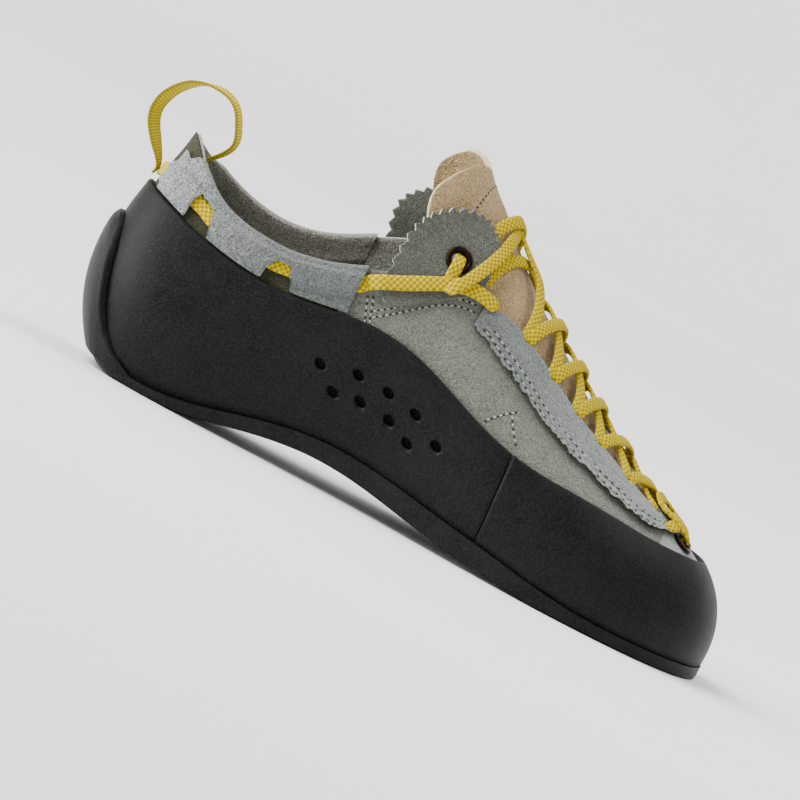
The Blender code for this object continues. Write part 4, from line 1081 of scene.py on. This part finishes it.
def buildCuff(name, side):
    rows = cuffRows()
    rows = rows[-side * rimLength(rows) > cuff["heelHalf"]]
    runs = rimLength(rows)
    bare = cuff["bareTab"] * smoothStep(1 - (np.abs(runs) / cuff["tabHalf"]) ** 2, 0, 0.55)
    profile = np.linspace(0, 1, cuff["columns"] + 1)
    steps = np.arange(cuff["columns"] + 1) * cuff["least"]
    shares = np.linspace(0, 1, 61)
    half = lace["channel"] / 2 + gap
    room = lace["thickness"] + gap
    grid = []
    for t, run, left in zip(rows, runs, bare):
        line = rawWall(t, shares)
        length = runAlong(line)
        drop = length[-1] - length
        foot = float(np.interp(randTop(t) + cuff["foot"], line[:, 2], drop))
        middle = float(alongTable(cuff["laceDrop"], t)) * collar
        foot = tornFoot(run, foot, left, middle)
        drops = left + np.maximum((foot - left) * profile, steps)[::-1]
        at = np.interp(-drops, -drop, shares)
        beside = np.abs(drops - middle) - half
        lift = gap + cuff["ease"] + room * smoothStep(1 - beside / cuff["shoulder"], 0, 1)
        grid.append(np.column_stack([np.full_like(at, t), at, lift]))
    t, at, lift = np.moveaxis(np.array(grid), -1, 0)
    relief = lumpy(wall(t, at, lift + sizes["cuffWall"]), cuff["relief"])
    outerPoints = wall(t, at, lift + sizes["cuffWall"] + relief)
    innerPoints = wall(t, at, lift)
    # the fold over the rim, down the inside
    full = np.ones_like(rows)
    reach = sectionFrame(rows)[3]
    bulge = 0.55 * smoothStep(np.abs(runs), cuff["tabHalf"] - 1 * mm, cuff["tabHalf"] + 8 * mm) + 0.05
    outLift = lift[:, -1] + sizes["cuffWall"] + relief[:, -1]
    inLift = -(sizes["upperWall"] + gap + sizes["cuffWall"])
    radius = (outLift - inLift) / 2
    foldOuter, foldInner = [], []
    for turn in np.linspace(0, math.pi, 13)[1:]:
        for fold, around in ((foldOuter, radius), (foldInner, radius - sizes["cuffWall"])):
            across = (outLift + inLift) / 2 + around * math.cos(turn)
            fold.append(wall(rows, full, across) + reach * (around * bulge * math.sin(turn))[:, None])
    # inside, the turned suede is skived: it thins until it is level with the lining
    skived = -sizes["upperWall"] - 0.12 * mm
    for drop, level in cuff["skived"]:
        down = wallShare(rows, drop + rippled(runs, cuff["foldRelief"]), byHeight=False)
        foldOuter.append(wall(rows, down, inLift + (skived - inLift) * level * full))
        foldInner.append(wall(rows, down, (skived + 0.1 * mm) * full))
    # where the tab is bare there is no fold: its points gather on the cuff's top edge
    hidden = bare >= 0.1 * mm
    for fold, edge in ((foldOuter, outerPoints[:, -1]), (foldInner, innerPoints[:, -1])):
        for ring in fold:
            ring[hidden] = edge[hidden]
    outerPoints = np.concatenate([outerPoints, np.array(foldOuter).transpose(1, 0, 2)], axis=1)
    innerPoints = np.concatenate([innerPoints, np.array(foldInner).transpose(1, 0, 2)], axis=1)
    keys = ("cuff", "backing", "rawEdge", "lining")
    numbers = np.zeros((len(rows) - 1, outerPoints.shape[1] - 1), int)
    numbers[:, cuff["columns"] + 7:] = keys.index("lining")
    made = sheetPiece(name, innerPoints, outerPoints, [finishes[key] for key in keys], outsideNumbers=numbers)
    return made


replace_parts(buildCuff("suedeCuffOuter", outerSide), "cuff")
buildCuff("suedeCuffInner", innerSide)
print("cuff built")

# Ankle lace: flat braid through the cuff's channel round the heel and forward over both ears

ears = {
    "freeEdge": ((0.359, 0.0755), (0.358, 0.0850), (0.362, 0.0935), (0.374, 0.0990), (0.394, 0.1030),
                 (0.420, 0.1052), (0.444, 0.1046), (0.462, 0.1018), (0.474, 0.0975), (0.479, 0.0920)),
    "foot": ((0.482, 0.0868), (0.478, 0.0822), (0.450, 0.0772), (0.412, 0.0705), (0.380, 0.0655),
             (0.364, 0.0690)),
    "eyelet": (0.434, 0.0893),
    "innerRise": 4.0 * mm,
    "innerFuller": (0.6, 1.2, 1.6, 1.5, 1.2, 0.7, 0.3, 0.0, 0.0, 0.0),
    "fullerBack": 4.6 * mm,
    "fullerDown": 1.2 * mm,
    "lift": 0.6 * mm,
    "curl": 1.3 * mm,
    "hole": 3.3 * mm,
    "teeth": 18,
    "toothSteps": 6,
    "toothDepth": 1.6 * mm,
    "relief": ((0.12 * mm, 5 * mm, 43),),
    "solved": (0.0, 0.33, 0.66, 0.9, 1.0),  # shares from the hole to the edge that are placed on the foot
    "rings": (0.0, 0.08, 0.18, 0.30, 0.42, 0.54, 0.66, 0.76, 0.85, 0.91, 0.96, 1.0),
}
hitchLead = ((0.3435, 0.0694, 0.15), (0.3560, 0.0712, 1.05), (0.385, 0.0745, 1.0), (0.418, 0.0785, 1.0),
             (0.448, 0.0815, 1.0))
overEar = ears["lift"] + sizes["earWall"] + gap


# One end of the lace, forward over an ear: its points, and beside them the way out of the leather
def laceOverEar(side):
    rise = ears["innerRise"] if side == innerSide else 0.0
    places = [(*sidePlaces(side, [(shoeX(share), z + rise)])[0], gap + (overEar - gap) * lift)
              for share, z, lift in hitchLead]
    places.append((6.30, archOn(side, 0.995), overEar + 0.1 * mm))
    places.append((6.62, archOn(side, 0.985), 1.3 * mm))
    r, a, lift = smoothPath(places, 60).T
    points = arch(r, a, lift)
    return np.concatenate([points, arch(r, a, lift + 1 * mm) - points], axis=1)


def buildAnkleLace():
    leaves = 4.74
    t = np.linspace(-leaves, leaves, 241)[1:-1]
    share = wallShare(t, alongTable(cuff["laceDrop"], t) * collar, byHeight=False)
    points = wall(t, share, gap)
    heel = np.concatenate([points, wall(t, share, gap + 1 * mm) - points], axis=1)
    both = evenPath(np.concatenate([laceOverEar(innerSide)[::-1], heel, laceOverEar(outerSide)]), 0.8 * mm)
    made = strapPiece("laceAnkle", both[:, :3], both[:, 3:], lace["width"], lace["thickness"],
                      finishes["lace"])
    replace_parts(made, "lace_ankle")


buildAnkleLace()


# Ears: pinked suede flaps beside the tongue, which curl out a little at their free edge
def buildEar(name, side, node):
    rise = ears["innerRise"] if side == innerSide else 0.0
    middle = np.array([shoeX(ears["eyelet"][0]), ears["eyelet"][1] + rise])
    each = ears["toothSteps"]
    edge = [(shoeX(x), z + rise) for x, z in ears["freeEdge"]]
    if side == innerSide:
        edge = [(x - fuller * ears["fullerBack"], z - fuller * ears["fullerDown"])
                for (x, z), fuller in zip(edge, ears["innerFuller"])]
    free = smoothPath(edge, each * ears["teeth"] + 1)
    phase = (np.arange(len(free)) % each) / each
    saw = ears["toothDepth"] * (np.abs(2 * phase - 1) - 0.5)
    uneven = 0.15 * mm * ripple(np.arange(len(free)), 2, 41)
    free = free + unit(free - middle) * (saw + uneven)[:, None]
    foot = smoothPath([free[-1], *[(shoeX(x), z + rise) for x, z in ears["foot"]], free[0]], 56)[1:-1]
    outline = np.concatenate([free, foot])
    hole = middle + unit(outline - middle) * ears["hole"]
    curl = np.zeros(len(outline))
    curl[:len(free)] = np.sin(math.pi * np.linspace(0, 1, len(free))) ** 0.7
    known = ears["solved"]
    solved = np.array([sidePlaces(side, hole + (outline - hole) * share) for share in known])
    rings = []
    for share in ears["rings"]:
        k = min(int(np.searchsorted(known, share, side="right")), len(known) - 1)
        part = (share - known[k - 1]) / (known[k] - known[k - 1])
        places = solved[k - 1] * (1 - part) + solved[k] * part
        rings.append(np.column_stack([places, ears["lift"] + ears["curl"] * curl * share ** 3]))
    grid = np.stack(rings, axis=1)
    if side == innerSide:
        grid = grid[::-1]
    r, a, lift = np.moveaxis(grid, -1, 0)
    lift = lift + lumpy(arch(r, a, lift), ears["relief"])
    inner = arch(r, a, lift)
    outer = arch(r, a, lift + sizes["earWall"])
    made = sheetPiece(name, inner, outer, [finishes["ear"], finishes["ear"], finishes["rawEdge"]],
                      closedRows=True)
    # only the free edge is pale: the foot is sewn down
    number = np.zeros(len(made.data.polygons), int)
    made.data.polygons.foreach_get("material_index", number)
    sewn = np.arange(len(outline)) >= len(free)
    number[-len(outline):][sewn[::-1] if side == innerSide else sewn] = 0
    made.data.polygons.foreach_set("material_index", number)
    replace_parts(made, node)


buildEar("suedeEarOuter", outerSide, "ear_outer")
buildEar("suedeEarInner", innerSide, "ear_inner")
print("ankle lace and ears built")

# Eyelets: rolled rings turned from one profile

eyelets = {
    "hole": 2.7 * mm,
    "barrel": 0.5 * mm,
    "flange": 4.8 * mm,
    "thick": 0.9 * mm,
    "sides": 48,
    "toeSection": 12.12,
    "toeHeight": 0.0404,
}


def toeEyeletPlace(side):
    share = float(wallShare(loopOn(side, eyelets["toeSection"]), eyelets["toeHeight"])[0])
    return np.array([eyelets["toeSection"], archOn(side, share)])


def buildEyelet(name, place, seat, leather, node):
    depth = leather + gap
    where = frameAt(place) @ Matrix.Translation((0.0, 0.0, seat + gap))
    hole, flange, thick = eyelets["hole"], eyelets["flange"], eyelets["thick"]
    barrel = hole + eyelets["barrel"]
    profile = [(hole, -depth), (barrel, -depth), (barrel, -0.05 * mm), (flange - 0.1 * mm, 0.0)]
    for i in range(9):
        turn = math.pi * i / 8
        profile.append(((flange + hole + 0.3 * mm) / 2 + (flange - hole - 0.3 * mm) / 2 * math.cos(turn),
                        0.15 * thick + 0.85 * thick * math.sin(turn)))
    profile.append((hole, 0.0))
    points = []
    for i in range(eyelets["sides"]):
        turn = 2 * math.pi * i / eyelets["sides"]
        points += [where @ Vector((radius * math.cos(turn), radius * math.sin(turn), z))
                   for radius, z in profile]
    count = len(profile)
    faces = []
    for i in range(eyelets["sides"]):
        k = (i + 1) % eyelets["sides"]
        for j in range(count):
            m = (j + 1) % count
            faces.append((i * count + j, k * count + j, k * count + m, i * count + m))
    made = meshPiece(name, points, faces, [finishes["bronze"]])
    weld(made)
    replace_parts(made, node)


eyeletPlaces = {}
for side, label in bothSides:
    rise = ears["innerRise"] if side == innerSide else 0.0
    top = sidePlaces(side, [(shoeX(ears["eyelet"][0]), ears["eyelet"][1] + rise)])[0]
    eyeletPlaces[side] = top
    buildEyelet("bronzeEyeletTop" + label, top, ears["lift"] + sizes["earWall"], sizes["earWall"],
                "eyelet_top_" + label.lower())
    buildEyelet("bronzeEyeletToe" + label, toeEyeletPlace(side), 0.0, sizes["upperWall"],
                "eyelet_toe_" + label.lower())
print("eyelets built")

# Tongue: rough-out leather under both eyestays, standing up in front of the ankle

tongue = {
    "top": 5.71,
    "droop": 0.85,
    "round": 1.3,
    "corner": 7.0,
    "foot": 12.2,
    "standing": 2.4 * mm,
    "ridge": 0.7,
    "depth": sizes["upperWall"] + 3 * gap,
    "half": ((4.8, 0.38), (5.5, 0.40), (6.0, 0.42), (6.5, 0.52), (7.0, 0.60), (13.0, 0.60)),
    "columns": 40,
    "rows": 120,
    "relief": ((0.35 * mm, 12 * mm, 51), (0.15 * mm, 4 * mm, 52)),
    "pinholes": ((5.70, 1.18), (5.76, 1.28), (5.83, 1.40), (5.90, 1.53)),
    "pinholePitch": 1.9 * mm,
}


def tongueHalf(r):
    return np.interp(r, *np.array(tongue["half"]).T)


def tonguePoint(r, across, out):
    return arch(r, 1.5 + across * tongueHalf(r), out)


# How far the tongue's face lies from the foot's surface: under the eyestays, then standing free above them
def tongueLift(r, across):
    base = tonguePoint(r, across, -tongue["depth"] * np.ones_like(r))
    relief = lumpy(base, tongue["relief"]) * smoothStep(r, 6.6, 6.0)
    free = tongue["standing"] * (1 + tongue["ridge"] * (1 - across ** 2)) * smoothStep(r, 6.05, 5.1)
    return relief + free - tongue["depth"]


def buildTongue():
    across = np.linspace(-1, 1, tongue["columns"] + 1)
    beside = np.abs(across)
    top = tongue["top"] - tongue["droop"] * beside ** tongue["round"]
    top = top + tongue["corner"] * np.maximum(beside - 0.8, 0.0) ** 2
    along = np.linspace(0, 1, tongue["rows"]) ** 1.15
    r = top[None, :] + (tongue["foot"] - top[None, :]) * along[:, None]
    wide = np.broadcast_to(across, r.shape)
    lift = tongueLift(r, wide)
    outer = tonguePoint(r, wide, lift)
    inner = tonguePoint(r, wide, lift - sizes["tongueWall"])
    made = sheetPiece("leatherTongue", inner, outer,
                      [finishes["tongue"], finishes["tongueInside"], finishes["tongueEdge"]])
    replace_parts(made, "tongue")
    # a row of pinholes crosses the tongue just over the lace
    track = smoothPath(tongue["pinholes"], 60)
    r = track[:, 0]
    across = (track[:, 1] - 1.5) / tongueHalf(r)
    lift = tongueLift(r, across)
    points = tonguePoint(r, across, lift)
    outs = tonguePoint(r, across, lift + 1 * mm) - points
    row = stitchRow("pinholesTongue", points, outs, threads=False, pitch=tongue["pinholePitch"])


buildTongue()
print("tongue built")

# Eyestays: suede strips along the throat, ragged at their lower edge

eyestay = {
    "first": 6.46,
    "last": 11.6,
    "width": ((6.4, 0.115), (7.0, 0.165), (8.0, 0.190), (9.0, 0.178), (10.0, 0.150), (11.0, 0.105),
              (12.0, 0.070)),
    "columns": 26,
    "rows": 300,
    "ragged": ((0.75 * mm, 2.2 * mm, 61), (0.75 * 0.7 * mm, 0.9 * mm, 62)),
    "relief": ((0.16 * mm, 6 * mm, 64), (0.08 * mm, 2 * mm, 65)),
    "curl": 0.55 * mm,
    "curlWidth": 1.0 * mm,
    "stitches": ((1.9 * mm, 6.62, 11.5), (4.6 * mm, 6.75, 11.35)),  # from the lower edge, first, last
    "furrow": 0.22 * mm,
    "furrowWidth": 0.7 * mm,
}


# The strip's lower edge, which keeps clear of the rubber
def eyestayLow(r, side, ragged=0.0):
    t = loopOn(side, r)
    low = wallShare(t, alongTable(eyestay["width"], r) * sizes["ballWidth"] + ragged, byHeight=False)
    return np.maximum(low, wallShare(t, randTop(t) + cuff["foot"]))


def buildEyestay(name, side, node):
    r = np.linspace(eyestay["first"], eyestay["last"], eyestay["rows"])
    t = loopOn(side, r)
    run = np.interp(r, throatR, throatLength[side])
    low = eyestayLow(r, side, rippled(run, eyestay["ragged"]))
    inset = np.maximum(biteAt(t) - 0.2 * mm, 0.0) + 0.12 * mm * (1 + ripple(run, 0.8 * mm, 63))
    top = wallShare(t, inset, byHeight=False)
    shares = low[:, None] + (top - low)[:, None] * np.linspace(0, 1, eyestay["columns"] + 1)[None, :]
    base = wall(t[:, None], shares)
    below = np.linalg.norm(base - base[:, :1], axis=-1)
    relief = lumpy(base, eyestay["relief"])
    for row, _, _ in eyestay["stitches"]:
        relief = relief - eyestay["furrow"] * np.exp(-((below - row) / eyestay["furrowWidth"]) ** 2)
    curl = eyestay["curl"] * np.exp(-(below / eyestay["curlWidth"]) ** 2)
    outer = wall(t[:, None], shares, gap + sizes["eyestayWall"] + relief + curl)
    inner = wall(t[:, None], shares, 0.1 * mm + 1.6 * curl)
    if side == innerSide:
        outer, inner = outer[::-1], inner[::-1]
    # near-black inside and dark olive cut edge: painted shade under the curled lower edge
    made = sheetPiece(name, inner, outer, [finishes["eyestay"], finishes["backing"], finishes["tabAndPaintedShade"]])
    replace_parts(made, node)


buildEyestay("suedeEyestayOuter", outerSide, "eyestay_outer")
buildEyestay("suedeEyestayInner", innerSide, "eyestay_inner")


# Rows of stitches, each along a line on the wall
def rowOn(name, t, share, lift, **options):
    points = wall(t, share, lift)
    outs = unit(wall(t, share, lift + 1 * mm) - points)
    stitchRow(name, points, outs, **options)


for side, label in bothSides:
    for number, (inset, first, last) in enumerate(eyestay["stitches"], 1):
        r = np.linspace(first, last, 200)
        t = loopOn(side, r)
        low = eyestayLow(r, side)
        slope = np.linalg.norm(rawWall(t, low + 0.01) - rawWall(t, low), axis=-1) / 0.01
        rowOn("stitchesEyestay%s%d" % (label, number), t, low + inset / slope,
              gap + sizes["eyestayWall"] - 0.12 * mm)

# rows along the ear's foot and down the quarter's seams, as section number and share up the wall
quarterRows = {
    "stitchesEarFoot1": ((5.02, 0.755), (5.40, 0.815), (5.75, 0.885), (6.05, 0.935), (6.35, 0.955)),
    "stitchesEarFoot2": ((5.04, 0.715), (5.40, 0.775), (5.75, 0.845), (6.05, 0.895), (6.38, 0.92)),
    "stitchesSeamRear": ((4.96, 0.84), (5.00, 0.78), (5.03, 0.72), (5.07, 0.67)),
    "stitchesSeamRear2": ((4.88, 0.84), (4.92, 0.78), (4.96, 0.72), (5.00, 0.67)),
    "stitchesSeamMiddle": ((7.18, 0.50), (7.30, 0.555), (7.42, 0.61), (7.55, 0.665)),
    "stitchesSeamFront": ((7.50, 0.64), (7.58, 0.60), (7.66, 0.56), (7.74, 0.53)),
}
for name, places in quarterRows.items():
    for side, label in bothSides:
        track = smoothPath(places, 60)
        rowOn(name + label, loopOn(side, track[:, 0]), track[:, 1], 0.0, pitch=2.2 * mm)
print("eyestays and stitches built")

# Lacing over the throat. Between two pairs of bites a slant runs from the inner bite to the next outer one,
# and a bar over it from the outer bite to the next inner one. Places are section number, share of the arch
# and lift in mm; those of a slant and a bar start with a share of the way to the next bite and a shift.

edgeOuter, edgeInner = 0.985, 2.015
lacing = {
    "flatter": 0.86,  # a strand's width over the throat, of the lace's width
    "Slant": ((0, 0.04, edgeInner, -1.0), (0.06, 0, 1.90, -0.2), (0.18, 0, 1.72, -1.2), (0.42, 0, 1.53, -1.4),
              (0.70, 0, 1.33, -1.0), (0.90, 0, 1.12, 0.3), (1, -0.02, edgeOuter, 0.0)),
    "Bar": ((0, 0.05, edgeOuter, -0.8), (0.12, 0, 1.09, 0.8), (0.32, 0, 1.28, 0.5), (0.58, 0, 1.52, 0.3),
            (0.84, 0, 1.82, 0.5), (1, 0, edgeInner, 0.0)),
    # the top: a bar over the tongue's ridge, a strand that turns down from it, and a second bar lower
    "top": {
        "laceTopBar": ((5.97, 1.07, -1.6), (6.06, 1.18, -1.2), (6.15, 1.29, -0.6), (6.28, 1.44, 0.3),
                       (6.38, 1.60, 0.6), (6.47, 1.76, 0.8), (6.54, 1.92, 0.9), (6.60, edgeInner, 0.4)),
        "laceLongStrand": ((6.36, 1.66, -0.6), (6.44, 1.55, -1.0), (6.58, 1.49, -0.8), (6.75, 1.46, -0.3),
                           (6.92, 1.42, 0.2), (7.04, 1.30, 0.2), (7.12, 1.16, 0.4), (7.16, edgeOuter, 0.0)),
        "laceSecondBar": ((6.30, 1.04, -1.8), (6.38, 1.14, -2.2), (6.48, 1.24, -2.3), (6.66, 1.40, -2.3),
                          (6.82, 1.56, -2.2), (6.95, 1.76, -1.6), (7.05, 1.90, -0.4), (7.12, edgeInner, -0.4)),
    },
    # the hitch round the ankle lace, and its end on either side
    "hitch": ((5.88, 0.965, 2.4), (5.92, 0.955, 3.6), (5.97, 0.975, 4.9), (6.04, 1.00, 4.8), (6.14, 1.05, 3.8),
              (6.24, 1.13, 2.2)),
    "hitchOuter": ((6.32, 1.25, 0.3), (6.38, 1.40, -1.2), (6.42, 1.52, -1.6)),
    "hitchInner": ((6.33, 1.22, 2.0), (6.42, 1.30, 2.3)),
    # from the top eyelet, whose own place is added to the first four
    "fromEyelet": ((0, 0.012, -0.6), (0, 0.004, 1.6), (0.01, -0.02, 2.8), (0.02, -0.045, 2.2)),
    "toHitch": ((5.87, 0.985, 2.1), (5.89, 0.965, 2.3)),
    # from the last bite, whose section is added, to the toe eyelet
    "toToe": ((0.10, 1.60, 1.4), (0.35, 1.12, 2.2), (0.80, 0.98, 2.6)),
    # round the front of the toe, just over the eyelets
    "toeBar": ((11.00, 0.86, 0.4), (11.20, 0.88, 1.6), (11.70, 0.91, 2.0), (12.20, 0.94, 2.2),
               (12.65, 0.95, 2.2)),
}


def buildLacing():
    strands = {}
    notches = throat["notches"]
    # the strands of the top take the places of the first slant and bar
    for k in range(2, len(notches)):
        before, gone = notches[k - 1], notches[k] - notches[k - 1]
        for kind in ("Slant", "Bar"):
            strands["lace%s%d" % (kind, k)] = [(before + share * gone + shift, a, lift)
                                              for share, shift, a, lift in lacing[kind]]
    strands.update(lacing["top"])
    for side, label in bothSides:
        r, a = eyeletPlaces[side]
        a = archOn(side, a)
        ending = "" if side == outerSide else label
        strands["laceHitchUp" + ending] = mirrored(side, lacing["hitch"] + lacing["hitch" + label])
        leaves = [(r + along, a + over, lift) for along, over, lift in lacing["fromEyelet"]]
        strands["laceFromEyelet" + ending] = mirrored(side, [*leaves, *lacing["toHitch"]])
    for side, label in bothSides:
        r, a = toeEyeletPlace(side)
        a = archOn(side, a)
        comes = [(notches[-1] + along, over, lift) for along, over, lift in lacing["toToe"]]
        ends = [(0.5 * (comes[-1][0] + r), 0.5 * (1 + a), 2.8), (r - 0.05, a + 0.01, 2.2), (r, a, 0.2)]
        strands["laceToe" + label] = mirrored(side, comes + ends)
    back = [(loopCount - r, a, lift) for r, a, lift in reversed(lacing["toeBar"])]
    strands["laceToeBar"] = [*lacing["toeBar"], (toeNumber, *lacing["toeBar"][-1][1:]), *back]
    for number, (name, places) in enumerate(strands.items()):
        made = strapOver(name, places, lace["width"] * lacing["flatter"], lace["thickness"], finishes["lace"])
        if number == 0:
            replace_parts(made, "lacing")


# Places counted from the outer side, moved to either side
def mirrored(side, places):
    return [(r, archOn(side, a), lift) for r, a, lift in places]


buildLacing()
print("lacing built")

# Pull loop: woven tape from the heel's opening, up and over the collar, to the inside of the heel

loop = {
    "start": 0.0655,
    "end": 0.0755,
    "free": ((-0.012, 0.0790), (-0.0150, 0.0865), (-0.0125, 0.0940), (-0.0065, 0.0995), (0.0015, 0.1012),
             (0.0080, 0.0985), (0.0118, 0.0925), (0.0125, 0.0850)),
    "width": 7.5 * mm,
    "thickness": 1.1 * mm,
    "twistUp": 35,  # degrees, over the first part of the loop and then back over the rest
    "twistDown": 16,
    "twistPart": 0.55,
}


def buildLoop():
    outside = lace["thickness"] + 3 * gap
    inside = -(sizes["upperWall"] + gap + loop["thickness"] + sizes["cuffWall"])
    low = wall(0.0, float(wallShare(0.0, loop["start"])[0]), outside)
    mid = wall(0.0, float(wallShare(0.0, loop["start"] + 0.0045)[0]), outside + 0.0006)
    end = wall(0.0, float(wallShare(0.0, loop["end"])[0]), inside)
    peak = rimAt(0.0)[0]
    free = [np.array([peak + dx, 0.0, z]) for dx, z in loop["free"]]
    path = evenPath(smoothPath([low, mid, *free, end], 200), 0.7 * mm)
    along = np.gradient(path, axis=0)
    normals = -np.cross(np.array([0.0, 1.0, 0.0]), along)
    share = np.linspace(0, 1, len(path)) / loop["twistPart"]
    up, down = np.clip(share, 0, 1), np.clip(share + 1 - share[-1], 0, 1)
    twist = loop["twistUp"] * np.sin(math.pi * up) - loop["twistDown"] * np.sin(math.pi * down)
    made = strapPiece("tapePullLoop", path, normals, loop["width"], loop["thickness"], finishes["tape"],
                      twist=twist, roundEnds=False)
    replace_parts(made, "pull_loop")


buildLoop()
print("pull loop built")
